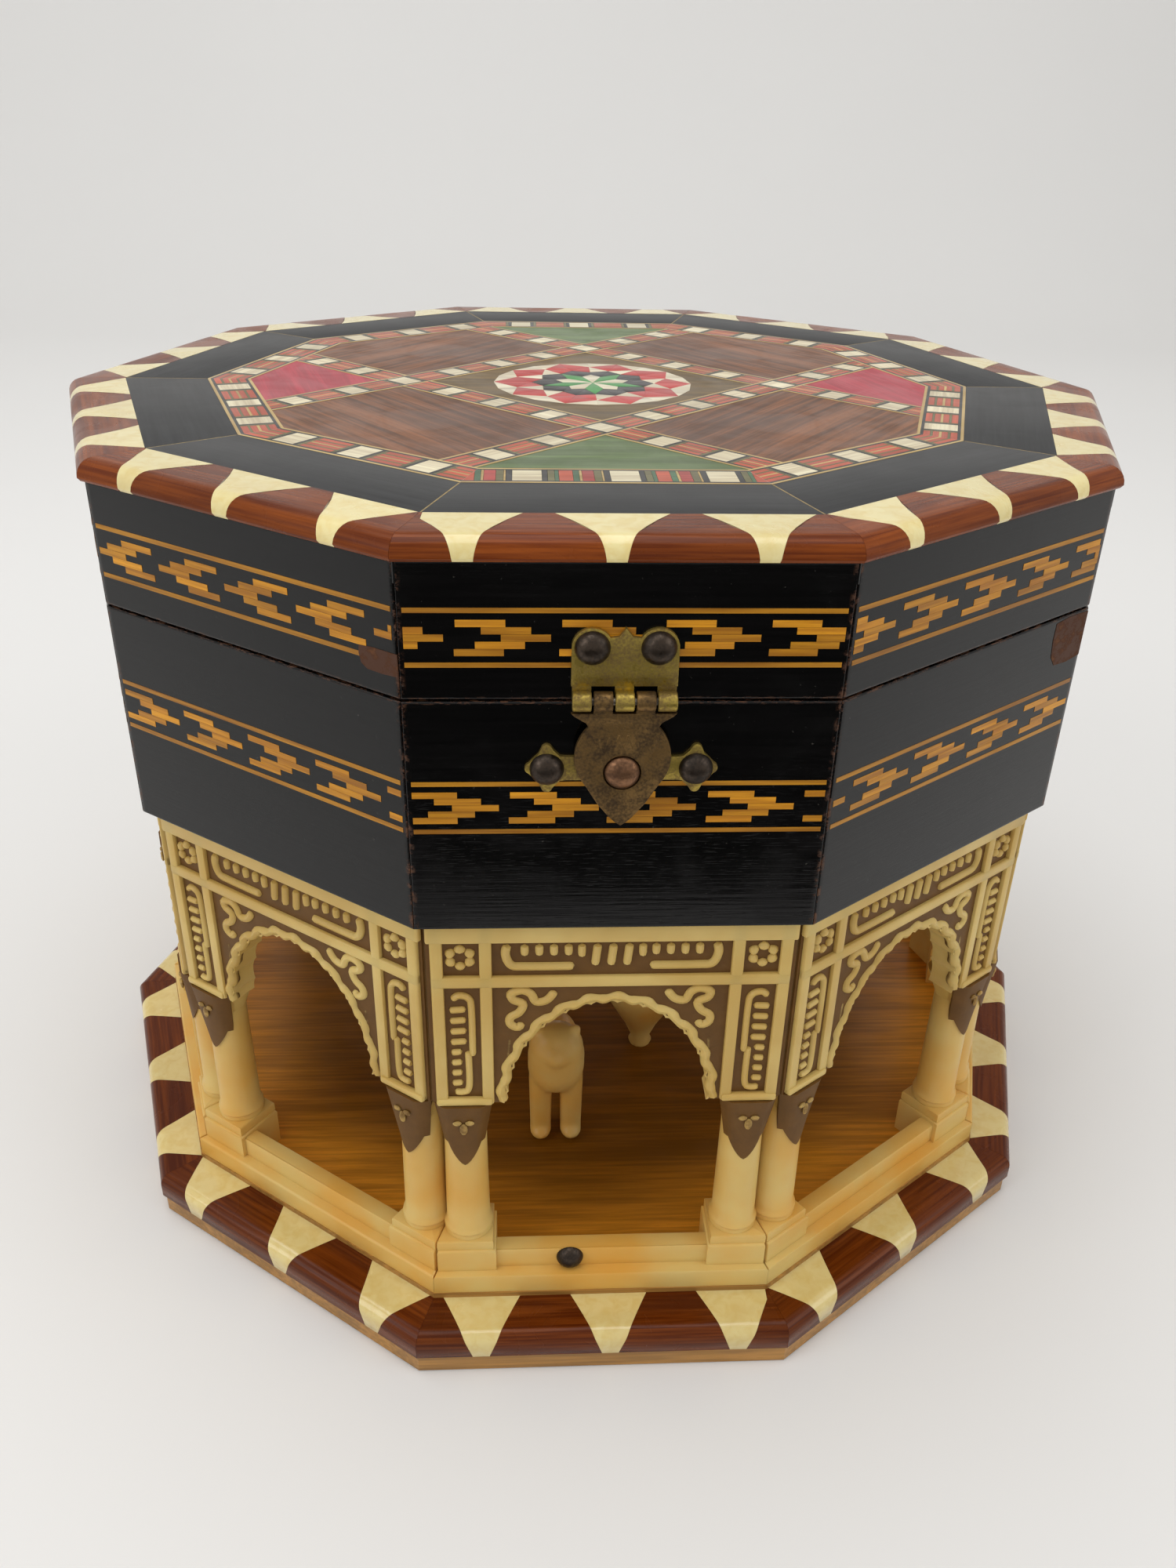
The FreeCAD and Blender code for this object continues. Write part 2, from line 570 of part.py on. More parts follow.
def arcade_panel(side):
    """Moulded panel: framed frieze, lobed arch, two columns on plinths and a stepped sill."""
    label = f"arcade_panel_{side + 1:02d}"
    face = PANEL_REACH
    back = f"({face} - panel_thickness)"
    groove = f"({face} - panel_groove_depth)"
    edge = f"({across(face)} - panel_groove_width)"
    slab = [(f"-{edge}", f"-{face}"), (edge, f"-{face}"), (edge, f"-{groove}"),
            (across(groove), f"-{groove}"), (across(back), f"-{back}"), (f"-{across(back)}", f"-{back}"),
            (f"-{across(groove)}", f"-{groove}"), (f"-{edge}", f"-{groove}")]
    body = prism(label, slab, ARCH_Z, "panel_height")

    grounds = new_sketch(body, label + "Grounds", "XZ_Plane", face)
    frieze_top = f"({PANEL_TOP_Z} - rail_width)"
    frieze_foot = f"({frieze_top} - frieze_height)"
    field_top = f"({frieze_foot} - rail_width)"
    outer = f"({edge} - rail_width)"
    inner = f"({outer} - side_field_width)"
    field = f"({inner} - rail_width)"
    contour(grounds, box_corners(f"-{field}", field, frieze_foot, frieze_top))
    for low, high in ((f"-{outer}", f"-{inner}"), (inner, outer)):
        contour(grounds, box_corners(low, high, frieze_foot, frieze_top))
        contour(grounds, box_corners(low, high, f"{ARCH_Z} + rail_width", field_top))
    contour(grounds, box_corners(f"-{field}", field, f"{ARCH_Z} + rail_width", field_top))
    cut(body, grounds, "relief_depth", label + "GroundsCut")

    archivolt = new_sketch(body, label + "Archivolt", "XZ_Plane", face)
    contour(archivolt, arch(f"{ARCH_X} + archivolt_width", "arch_rise + archivolt_width", "archivolt_bow"))
    pad(body, archivolt, "panel_thickness", label + "ArchivoltPad", down=True)
    opening = new_sketch(body, label + "Opening", "XZ_Plane")
    contour(opening, arch(ARCH_X, "arch_rise", "lobe_depth"))
    cut_through(body, opening, label + "OpeningCut")

    for hand, sign in (("Left", "-"), ("Right", "")):
        plinth = new_sketch(body, label + hand + "Plinth", "XY_Plane", COURT_Z)
        front = f"({face} + plinth_front)"
        near = f"({COLUMN_X} - plinth_width / 2)"
        corners = [(near, f"-{front}"), (across(face), f"-{front}"), (across(face), f"-{face}"),
                   (across(PLINTH_BACK), f"-{PLINTH_BACK}"), (near, f"-{PLINTH_BACK}")]
        contour(plinth, [(f"{sign}({x})", y) for x, y in corners])
        pad(body, plinth, "plinth_height", label + hand + "PlinthPad")
        profile = new_sketch(body, label + hand + "Column", "XZ_Plane", f"{face} - column_setback",
                             f"{sign}{COLUMN_X}")
        ring = "(column_radius + column_ring)"
        foot = f"({COURT_Z} + plinth_height)"
        ring_top = f"{foot} + ring_height"
        capital_foot = f"{ARCH_Z} - capital_height"
        contour(profile, [("0", foot), (ring, foot), (ring, ring_top), ("column_radius", ring_top),
                          ("column_radius", capital_foot), (ring, capital_foot), (ring, ARCH_Z), ("0", ARCH_Z)])
        column = body.newObject("PartDesign::Revolution", label + hand + "Shaft")
        column.Profile = profile
        column.ReferenceAxis = (profile, ["V_Axis"])
        column.Angle = 360.0

    sill = new_sketch(body, label + "Sill", "XY_Plane", COURT_Z)
    contour(sill, stave(face, f"{face} - sill_thickness"))
    pad(body, sill, "sill_height", label + "SillPad")
    step = new_sketch(body, label + "Step", "XY_Plane", COURT_Z)
    contour(step, stave(f"{face} + step_front", f"{face} - sill_thickness"))
    pad(body, step, "step_height", label + "StepPad")
    if side == 0:
        nail_holes(body, label + "Hole", [SILL_NAIL], face)
    body.Placement = turned(side)
    node(body, label)


def knuckles(body, name, spans, reach, height, radius):
    """Row of hinge knuckles along X; each span is (start, length)."""
    for index, (start, length) in enumerate(spans, start=1):
        round_sketch = new_sketch(body, f"{name}Knuckle{index}", "YZ_Plane", start)
        circle(round_sketch, f"-({reach})", height, radius)
        pad(body, round_sketch, length, f"{name}Knuckle{index}Pad")


def webs(body, name, spans, near, far, low, high):
    """Sheet between a plate and its knuckles."""
    for index, (start, length) in enumerate(spans, start=1):
        web = new_sketch(body, f"{name}Web{index}", "YZ_Plane", start)
        contour(web, box_corners(f"-({far})", f"-({near})", low, high))
        pad(body, web, length, f"{name}Web{index}Pad")


def pin_bore(body, name, reach, height):
    bore = new_sketch(body, name + "Bore", "YZ_Plane")
    circle(bore, f"-({reach})", height, "pin_radius + pin_clearance")
    cut_through(body, bore, name + "BoreCut")


def comb(half_width, count, first, middle="0"):
    """Every second of the equal knuckles across a plate, as (start, length)."""
    pitch = f"(2 * {half_width} / {count})"
    return [(f"{middle} - {half_width} + {index} * {pitch} + knuckle_gap / 2", f"{pitch} - knuckle_gap")
            for index in range(first, count, 2)]


def plate_holes(body, name, places):
    holes = new_sketch(body, name + "NailHoles", "XZ_Plane")
    for x, z in places:
        circle(holes, x, z, "nail_shank_radius + nail_clearance")
    cut_through(body, holes, name + "NailHolesCut")


HASP_REACH = "(wall_apothem + hasp_axis_front)"
HASP_CLEAR = "(knuckle_radius + knuckle_gap)"
HASP_KNUCKLES = 5
HINGE_KNUCKLES = 3


def make_hasp():
    """Hasp plate on the lid, its flap on a pin, and the catch plate with its stud on the box."""
    skin = "(wall_apothem + plate_thickness)"
    plate = new_body("hasp_plate")
    outline = new_sketch(plate, "HaspOutline", "XZ_Plane", "wall_apothem")
    foot = f"({HASP_AXIS_Z} + {HASP_CLEAR})"
    ear_z = f"({HASP_AXIS_Z} + hasp_nail_rise)"
    ear = "(hasp_half_width - hasp_nail_spread)"
    dip = f"({ear_z} + {ear} / 2)"
    inner_ear = f"(hasp_nail_spread - {ear} * cos(30))"
    contour(outline, [("-hasp_half_width", foot), ("hasp_half_width", foot), ("hasp_half_width", ear_z, ear),
                      (inner_ear, dip), ("0", f"{HASP_AXIS_Z} + hasp_height"), (f"-{inner_ear}", dip, ear),
                      ("-hasp_half_width", ear_z)])
    pad(plate, outline, "plate_thickness", "HaspSheet")
    fixed = comb("hasp_half_width", HASP_KNUCKLES, 0)
    webs(plate, "Hasp", fixed, "wall_apothem", skin, HASP_AXIS_Z, foot)
    knuckles(plate, "Hasp", fixed, HASP_REACH, HASP_AXIS_Z, "knuckle_radius")
    pin_bore(plate, "Hasp", HASP_REACH, HASP_AXIS_Z)
    plate_holes(plate, "Hasp", HASP_NAILS)
    node(plate, "hasp_plate")

    flap = new_body("hasp_flap")
    shape = new_sketch(flap, "FlapOutline", "XZ_Plane", f"{HASP_REACH} - plate_thickness / 2")
    top = f"({HASP_AXIS_Z} - {HASP_CLEAR})"
    round_z = f"({HASP_AXIS_Z} - flap_drop)"
    neck = ("flap_radius * sin(45)", f"{round_z} + flap_radius * cos(45)")
    cheek = ("flap_radius * cos(35)", f"{round_z} - flap_radius * sin(35)")
    tip = ("flap_tip_radius * sin(60)", f"{HASP_AXIS_Z} - flap_length + flap_tip_radius * (1 - cos(60))")
    left_side = [("-hasp_half_width", top), (f"-{neck[0]}", neck[1], "flap_radius"),
                 (f"-{cheek[0]}", cheek[1]), (f"-{tip[0]}", tip[1], "flap_tip_radius")]
    contour(shape, left_side + [tip, cheek + ("flap_radius",), neck, ("hasp_half_width", top)])
    pad(flap, shape, "plate_thickness", "FlapSheet")
    moving = comb("hasp_half_width", HASP_KNUCKLES, 1)
    webs(flap, "Flap", moving, f"{HASP_REACH} - plate_thickness / 2", f"{HASP_REACH} + plate_thickness / 2",
         top, HASP_AXIS_Z)
    knuckles(flap, "Flap", moving, HASP_REACH, HASP_AXIS_Z, "knuckle_radius")
    pin_bore(flap, "Flap", HASP_REACH, HASP_AXIS_Z)
    eye = new_sketch(flap, "FlapEye", "XZ_Plane")
    circle(eye, "0", CATCH_Z, "stud_radius + stud_clearance")
    cut_through(flap, eye, "FlapEyeCut")
    node(flap, "hasp_flap")

    pin = doc.addObject("Part::Cylinder", "hasp_pin")
    bind(pin, "Radius", "pin_radius")
    bind(pin, "Height", "2 * hasp_half_width - knuckle_gap")
    spot = FreeCAD.Vector(-value("hasp_half_width - knuckle_gap / 2"), -value(HASP_REACH), value(HASP_AXIS_Z))
    pin.Placement = FreeCAD.Placement(spot, FreeCAD.Rotation(FreeCAD.Vector(0, 1, 0), 90))
    node(pin, "hasp_pin")

    catch = new_body("catch_plate")
    ears = new_sketch(catch, "CatchOutline", "XZ_Plane", "wall_apothem")
    right = [("catch_nail_spread - catch_ear", f"{CATCH_Z} - catch_bar"),
             ("catch_nail_spread", f"{CATCH_Z} - catch_ear - 1.2 * nail_shank_radius"),
             ("catch_nail_spread + catch_ear * cos(45)", f"{CATCH_Z} - catch_ear * sin(45)"),
             ("catch_nail_spread + catch_ear", CATCH_Z),
             ("catch_nail_spread + catch_ear * cos(45)", f"{CATCH_Z} + catch_ear * sin(45)"),
             ("catch_nail_spread", f"{CATCH_Z} + catch_ear + 1.2 * nail_shank_radius"),
             ("catch_nail_spread - catch_ear", f"{CATCH_Z} + catch_bar")]
    contour(ears, right + [(f"-({x})", z) for x, z in reversed(right)])
    pad(catch, ears, "plate_thickness", "CatchSheet")
    plate_holes(catch, "Catch", CATCH_NAILS)
    stud = new_sketch(catch, "Stud", "XZ_Plane", "wall_apothem")
    circle(stud, "0", CATCH_Z, "stud_radius")
    pad(catch, stud, "stud_length", "StudPad")
    doc.recompute()
    front = -value("wall_apothem + stud_length")
    rims = [f"Edge{index}" for index, edge in enumerate(catch.Shape.Edges, start=1)
            if abs(edge.CenterOfMass.y - front) < 1e-6]
    round_off(catch, rims, "stud_radius / 2", "StudDome")
    node(catch, "catch_plate")


def hinge_leaf(name, middle, direction, first):
    """One leaf of a hinge with its nail heads, drawn on the front and turned to the back."""
    reach = "(wall_apothem + hinge_axis_back)"
    clear = "(hinge_knuckle_radius + knuckle_gap)"
    skin = "(wall_apothem + plate_thickness)"
    body = new_body(name)
    outline = new_sketch(body, name + "Outline", "XZ_Plane", "wall_apothem")
    low = f"{LID_AXIS_Z} {direction} {clear}"
    high = f"{LID_AXIS_Z} {direction} hinge_height"
    contour(outline, box_corners(f"{middle} - hinge_half_width", f"{middle} + hinge_half_width", low, high))
    pad(body, outline, "plate_thickness", name + "Sheet")
    own = comb("hinge_half_width", HINGE_KNUCKLES, first, middle)
    webs(body, name, own, "wall_apothem", skin, LID_AXIS_Z, low)
    knuckles(body, name, own, reach, LID_AXIS_Z, "hinge_knuckle_radius")
    pin_bore(body, name, reach, LID_AXIS_Z)
    heads = new_sketch(body, name + "Heads", "XZ_Plane", skin)
    for way in "-+":
        circle(heads, f"{middle} {way} hinge_nail_spread", f"{LID_AXIS_Z} {direction} hinge_nail_rise",
               "hinge_nail_radius")
    pad(body, heads, "hinge_nail_height", name + "HeadsPad")
    doc.recompute()
    leaf = body.Shape.copy()
    leaf.Placement = turned(BACK).multiply(body.Shape.Placement)
    return leaf


def make_hinges():
    """Two butt hinges on the back wall."""
    lid_leaves = []
    box_leaves = []
    pins = []
    reach = value("wall_apothem + hinge_axis_back")
    for index, middle in enumerate(("(-hinge_spread)", "hinge_spread"), start=1):
        lid_leaves.append(hinge_leaf(f"HingeLidLeaf{index}", middle, "+", 1))
        box_leaves.append(hinge_leaf(f"HingeBoxLeaf{index}", middle, "-", 0))
        length = value("2 * hinge_half_width - knuckle_gap")
        spot = FreeCAD.Vector(value(middle) - length / 2, reach, value(LID_AXIS_Z))
        pins.append(Part.makeCylinder(value("pin_radius"), length, spot, FreeCAD.Vector(1, 0, 0)))
    group("hinge_lid_leaves", lid_leaves)
    group("hinge_box_leaves", box_leaves)
    group("hinge_pins", pins)


def nail(name, seat):
    """Domed nail at the origin: its head towards -Y, its shank through a sheet that thick."""
    body = new_body(name)
    profile = new_sketch(body, name + "Profile", "XY_Plane")
    shoulder = "(nail_head_radius * cos(35))"
    tip = f"({seat} + nail_shank_length)"
    dome = [("0", "-nail_head_height"), (shoulder, "-nail_head_height * sin(35)"), ("nail_head_radius", "0")]
    contour(profile, dome + [("nail_shank_radius", "0"), ("nail_shank_radius", tip), ("0", tip)])
    turn = body.newObject("PartDesign::Revolution", name + "Turn")
    turn.Profile = profile
    turn.ReferenceAxis = (profile, ["V_Axis"])
    turn.Angle = 360.0
    doc.recompute()
    return body.Shape


def nails_at(shape, places, reach):
    """Copies of a nail in the front face."""
    copies = []
    for x, z in places:
        spot = FreeCAD.Placement(FreeCAD.Vector(value(x), -value(reach), value(z)), FreeCAD.Rotation())
        copy = shape.copy()
        copy.Placement = spot.multiply(shape.Placement)
        copies.append(copy)
    return copies


def make_nails():
    """Domed nails of the hasp, of the catch and in the front sill."""
    skin = "wall_apothem + plate_thickness"
    plate_nail = nail("PlateNail", "plate_thickness")
    sill_nail = nail("SillNail", "0")
    in_sill = nails_at(sill_nail, [SILL_NAIL], PANEL_REACH)
    group("lid_nails", nails_at(plate_nail, HASP_NAILS, skin))
    group("box_nails", nails_at(plate_nail, CATCH_NAILS, skin) + in_sill)


def make_court_pieces():
    """Standing lion and fountain bowl on the court floor, seen through the front arch."""
    floor = f"({COURT_Z} + court_floor_thickness)"
    lion = new_body("court_lion")
    back_z = f"({floor} + lion_leg_height + lion_body_radius / 2)"
    trunk = new_sketch(lion, "LionTrunk", "XZ_Plane", "lion_forward - lion_body_length")
    circle(trunk, "-lion_across", back_z, "lion_body_radius")
    pad(lion, trunk, "lion_body_length", "LionTrunkPad")
    mane = new_sketch(lion, "LionMane", "YZ_Plane", "-lion_across", "-lion_forward")
    throat_z = f"({back_z} - lion_body_radius / 2)"
    crown_z = f"({throat_z} + 2 * lion_mane_radius)"
    contour(mane, [("0", throat_z), ("lion_mane_radius", f"{throat_z} + lion_mane_radius / 2"),
                   ("lion_mane_radius", f"{crown_z} - lion_mane_radius / 2"), ("0", crown_z)])
    head = lion.newObject("PartDesign::Revolution", "LionHead")
    head.Profile = mane
    head.ReferenceAxis = (mane, ["V_Axis"])
    head.Angle = 360.0
    paws = new_sketch(lion, "LionLegs", "XY_Plane", floor)
    for hand in "-+":
        for rear in ("lion_leg_radius", "lion_body_length - lion_leg_radius"):
            circle(paws, f"-lion_across {hand} lion_leg_spread", f"-lion_forward + {rear}", "lion_leg_radius")
    pad(lion, paws, "lion_leg_height + lion_leg_radius", "LionLegsPad")
    node(lion, "court_lion")

    bowl = new_body("court_fountain")
    profile = new_sketch(bowl, "FountainProfile", "XZ_Plane")
    rim_z = f"({floor} + fountain_height)"
    contour(profile, [("0", floor), ("fountain_foot", floor), ("fountain_radius", rim_z),
                      ("fountain_radius - fountain_lip", rim_z), ("0", f"{floor} + fountain_height * 0.6")])
    turn = bowl.newObject("PartDesign::Revolution", "FountainTurn")
    turn.Profile = profile
    turn.ReferenceAxis = (profile, ["V_Axis"])
    turn.Angle = 360.0
    spot = FreeCAD.Vector(value("fountain_across"), -value("fountain_forward"), 0)
    bowl.Placement = FreeCAD.Placement(spot, FreeCAD.Rotation())
    node(bowl, "court_fountain")


def check():
    """Stop if any object failed or any sub-part has no valid shape."""
    doc.recompute()
    for item in doc.Objects:
        if {"Invalid", "Error"} & set(item.State):
            raise RuntimeError(f"{item.Label} failed: {item.State}")
    for label, item in nodes.items():
        if item.Shape.isNull() or not item.Shape.isValid() or not item.Shape.Solids:
            raise RuntimeError(f"{label} has no valid shape")


def export():
    os.makedirs("parts", exist_ok=True)
    for label, item in nodes.items():
        item.Shape.exportStep(os.path.join("parts", label + ".step"))
        print(f"{label}: {len(item.Shape.Solids)} solids, {item.Shape.Volume / 1000:.2f} cm3")


make_walls()
make_bands()
make_boards()
make_rims()
make_lid_veneers()
for number in range(SIDES):
    arcade_panel(number)
make_hasp()
make_hinges()
make_nails()
make_court_pieces()
check()
export()
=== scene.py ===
"""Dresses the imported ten-sided inlaid box: lacquer, marquetry, bone rims, moulded arcade and brass.

Lengths inside the modelling functions are millimetres in the frame of the front side, with x to the
right, y away from the viewer and z up.  A reach is a distance from the middle towards the viewer.
Each finished mesh is turned to its side and put in metres.
"""

import math
import random

import bmesh
import bpy
from mathutils import Matrix, Vector


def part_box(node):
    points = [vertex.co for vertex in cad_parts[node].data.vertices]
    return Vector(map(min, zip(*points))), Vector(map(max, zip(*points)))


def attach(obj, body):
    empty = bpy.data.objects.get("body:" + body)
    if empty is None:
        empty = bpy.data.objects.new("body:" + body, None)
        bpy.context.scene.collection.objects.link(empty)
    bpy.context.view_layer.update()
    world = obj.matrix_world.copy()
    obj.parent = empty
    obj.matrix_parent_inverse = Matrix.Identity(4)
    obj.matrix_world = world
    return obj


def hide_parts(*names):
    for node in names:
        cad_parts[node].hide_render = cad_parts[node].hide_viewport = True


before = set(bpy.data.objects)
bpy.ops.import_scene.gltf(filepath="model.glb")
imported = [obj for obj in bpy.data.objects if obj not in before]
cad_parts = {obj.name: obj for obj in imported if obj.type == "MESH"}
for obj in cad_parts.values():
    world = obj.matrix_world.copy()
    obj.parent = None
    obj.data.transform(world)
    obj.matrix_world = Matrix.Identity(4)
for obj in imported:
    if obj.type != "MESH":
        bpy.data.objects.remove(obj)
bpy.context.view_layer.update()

bl_info = {
    "name": "Inlaid box dresser",
    "version": (1, 0, 0),
    "blender": (4, 5, 0),
    "location": "View3D > Sidebar > Inlaid box",
    "description": "Builds the looks of a ten-sided inlaid box around its packed frame",
    "category": "Object",
}

MM = 0.001
SIDES = 10
TURN = math.tau / SIDES
MITRE = TURN / 2
TAN = math.tan(MITRE)
UP = Vector((0, 0, 1))
PLAIN = (1, 1, 1)


def span(node, axis):
    """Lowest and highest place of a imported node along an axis, in millimetres."""
    low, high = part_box(node)
    return low[axis] / MM, high[axis] / MM


def reach_of(node):
    """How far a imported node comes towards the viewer, in millimetres."""
    return -span(node, 1)[0]


WALL = reach_of("lid_wall_01")
LID_FOOT = span("lid_wall_01", 2)[0]
BOX_FOOT, BOX_HEAD = span("box_wall_01", 2)
LID_BAND = span("lid_marquetry_bands", 2)
BOX_BAND = span("box_marquetry_bands", 2)
RIM_FOOT, LID_TOP = span("lid_rim_mouldings", 2)
RIM_REACH = reach_of("lid_rim_mouldings")
FIELD = reach_of("lid_top_border")
BASE_RIM = span("base_rim_mouldings", 2)
BASE_REACH = reach_of("base_rim_mouldings")
STEP_REACH = reach_of("arcade_panel_01")
COURT_REACH = STEP_REACH + 0.2
FOOT, PANEL_HEAD = span("arcade_panel_01", 2)
HASP_PIN = sum(span("hasp_pin", 2)) / 2
HASP_AXIS = -sum(span("hasp_pin", 1)) / 2


def linear(text):
    """Linear colour of a six-digit screen colour."""
    levels = [int(text[i:i + 2], 16) / 255 for i in (0, 2, 4)]
    return tuple(c / 12.92 if c <= 0.04045 else ((c + 0.055) / 1.055) ** 2.4 for c in levels)


def colour(name, text, note):
    return bpy.props.FloatVectorProperty(name=name, description=note, default=linear(text),
                                         subtype="COLOR", size=3, min=0, max=1)


def length(name, number, note):
    return bpy.props.FloatProperty(name=name, description=note, default=number * MM,
                                   unit="LENGTH", precision=4)


class InlaidBoxColours(bpy.types.PropertyGroup):
    """Colours of the finishes."""
    lacquer: colour("Lacquer", "0A0909", "Black lacquer of the walls")
    tan: colour("Tan wood", "DC9818", "Light blocks of the wall marquetry")
    mahogany: colour("Mahogany", "8A4412", "Dark pieces of the rims")
    bone: colour("Bone", "EADCA0", "Pale wedges of the rims")
    cream: colour("Cream", "C5A35A", "Raised parts of the moulded arcade")
    wash: colour("Wash", "634319", "Brown wash in the sunk grounds of the arcade")
    court: colour("Court wood", "BC781C", "Floor of the court")
    brass: colour("Brass", "BEA652", "Aged sheet brass")
    green: colour("Green veneer", "667A4C", "Triangles of the lid")
    pink: colour("Pink veneer", "B23A48", "Kites of the lid")
    brown: colour("Brown veneer", "7C4C2B", "Quarter panels of the lid")
    felt: colour("Felt", "7A1420", "Lining")


class InlaidBoxSizes(bpy.types.PropertyGroup):
    """Sizes of the inlay and of the relief."""
    block: length("Block", 6.4, "Length of a light marquetry block")
    period: length("Period", 13.6, "Length of one marquetry arrow")
    line: length("Line", 0.7, "Height of the tan lines of a marquetry band")
    relief: length("Relief", 0.9, "Height of the arcade ornament above its ground")


def look():
    return bpy.context.scene.inlaid_box_colours


def size(name):
    """A size of the inlay in millimetres."""
    return getattr(bpy.context.scene.inlaid_box_sizes, name) / MM


def shaded(tint, factor):
    return tuple(c * factor for c in tint)


# Shader building blocks


def feed(tree, node, inputs):
    """Fill inputs of a node, each with a value, a colour or another node's output."""
    for key, item in inputs.items():
        socket = node.inputs[key]
        if isinstance(item, bpy.types.NodeSocket):
            tree.links.new(item, socket)
        else:
            socket.default_value = (*item, 1)[:4] if socket.type == "RGBA" else item
    return node


def add(tree, kind, inputs=None, **settings):
    """New shader node with its settings and inputs."""
    node = tree.nodes.new("ShaderNode" + kind)
    for key, setting in settings.items():
        setattr(node, key, setting)
    return feed(tree, node, inputs or {})


def mix(tree, factor, first, second, blend="MIX"):
    inputs = {0: factor, 6: first, 7: second}
    return add(tree, "Mix", inputs, data_type="RGBA", blend_type=blend).outputs[2]


def calc(tree, operation, *items):
    return add(tree, "Math", dict(enumerate(items)), operation=operation).outputs[0]


def ramp(tree, factor, low, high):
    """Value that climbs from 0 to 1 between two levels of another."""
    inputs = {"Value": factor, "From Min": low, "From Max": high}
    return add(tree, "MapRange", inputs, interpolation_type="SMOOTHSTEP").outputs["Result"]


def noise(tree, vector, scale, detail, **more):
    """Noise value; more sets its roughness or distortion."""
    inputs = {"Vector": vector, "Scale": scale, "Detail": detail}
    inputs.update({key.title(): item for key, item in more.items()})
    return add(tree, "TexNoise", inputs).outputs["Fac"]


def bump(tree, height, strength, distance):
    inputs = {"Height": height, "Strength": strength, "Distance": distance}
    return add(tree, "Bump", inputs).outputs[0]


def attribute(tree, name, output):
    return add(tree, "Attribute", attribute_name=name).outputs[output]


def grain_map(tree):
    return add(tree, "UVMap", uv_map="grain").outputs[0]


def millimetres(tree, turn=0.0, mirrored=False):
    """Object coordinates in millimetres, turned about Z; mirrored makes the four quarters alike."""
    place = add(tree, "TexCoord").outputs["Object"]
    if mirrored:
        place = add(tree, "VectorMath", {0: place}, operation="ABSOLUTE").outputs[0]
    inputs = {"Vector": place, "Scale": (1 / MM,) * 3, "Rotation": (0, 0, turn)}
    return add(tree, "Mapping", inputs).outputs[0]


def new_group(name, inputs, outputs):
    """Shader group with named sockets; returns the tree and its two end nodes."""
    tree = bpy.data.node_groups.new(name, "ShaderNodeTree")
    for way, sockets in (("INPUT", inputs), ("OUTPUT", outputs)):
        for kind, label in sockets:
            tree.interface.new_socket(label, in_out=way, socket_type="NodeSocket" + kind)
    return tree, tree.nodes.new("NodeGroupInput"), tree.nodes.new("NodeGroupOutput")


def grain_group():
    """Wood grain along the first axis of its vector: broad figure, fine streaks and pores."""
    name = "Wood grain"
    if name in bpy.data.node_groups:
        return bpy.data.node_groups[name]
    tree, start, end = new_group(name, [("Vector", "Vector"), ("Color", "Light"), ("Color", "Dark")],
                                 [("Color", "Color"), ("Float", "Height")])

    def layer(scale, detail, **more):
        inputs = {"Vector": start.outputs["Vector"], "Scale": scale}
        return noise(tree, add(tree, "Mapping", inputs).outputs[0], 1.0, detail, **more)

    figure = layer((0.02, 0.22, 0.22), 3.0, distortion=1.2)
    streak = layer((0.06, 1.6, 1.6), 4.0)
    pores = ramp(tree, layer((0.35, 5.0, 5.0), 2.0), 0.60, 0.72)
    dark, light = start.outputs["Dark"], start.outputs["Light"]
    blend = calc(tree, "MULTIPLY_ADD", streak, 0.55, calc(tree, "MULTIPLY", figure, 0.5))
    body = mix(tree, ramp(tree, blend, 0.36, 0.72), dark, light)
    feed(tree, end, {"Color": mix(tree, calc(tree, "MULTIPLY", pores, 0.45), body, dark),
                     "Height": calc(tree, "SUBTRACT", blend, calc(tree, "MULTIPLY", pores, 0.5))})
    return tree


def handling_group():
    """Smears and dust of a handled gloss surface: a roughness that varies and a dust mask."""
    name = "Handling"
    if name in bpy.data.node_groups:
        return bpy.data.node_groups[name]
    tree, start, end = new_group(name, [("Vector", "Vector"), ("Float", "Base"), ("Float", "Spread")],
                                 [("Float", "Roughness"), ("Float", "Dust")])
    place = start.outputs["Vector"]
    smear = ramp(tree, noise(tree, place, 0.09, 4.0, distortion=0.8), 0.35, 0.75)
    spread = calc(tree, "MULTIPLY", smear, start.outputs["Spread"])
    feed(tree, end, {"Roughness": calc(tree, "ADD", start.outputs["Base"], spread),
                     "Dust": ramp(tree, noise(tree, place, 1.7, 2.0), 0.72, 0.78)})
    return tree


def grained(tree, vector, light, dark):
    inputs = {"Vector": vector, "Light": light, "Dark": dark}
    return add(tree, "Group", inputs, node_tree=grain_group()).outputs


def handled(tree, vector, base, spread):
    inputs = {"Vector": vector, "Base": base, "Spread": spread}
    return add(tree, "Group", inputs, node_tree=handling_group()).outputs


def new_material(name):
    material = bpy.data.materials.new(name)
    material.use_nodes = True
    tree = material.node_tree
    tree.nodes.clear()
    shader = add(tree, "BsdfPrincipled")
    add(tree, "OutputMaterial", {"Surface": shader.outputs[0]})
    return material, tree, shader


# Finishes


def wood(name, light, dark, roughness, coat, gloss=0.4, **place):
    """Varnished wood; place turns or mirrors the coordinates whose first axis is the grain."""
    material, tree, shader = new_material(name)
    vector = millimetres(tree, **place)
    grain = grained(tree, vector, light, dark)
    feed(tree, shader, {
        "Base Color": grain["Color"],
        "Roughness": handled(tree, vector, roughness, 0.16)["Roughness"],
        "Normal": bump(tree, grain["Height"], 0.05, 0.0004),
        "Specular IOR Level": gloss, "Coat Weight": coat, "Coat Roughness": 0.12})
    return material


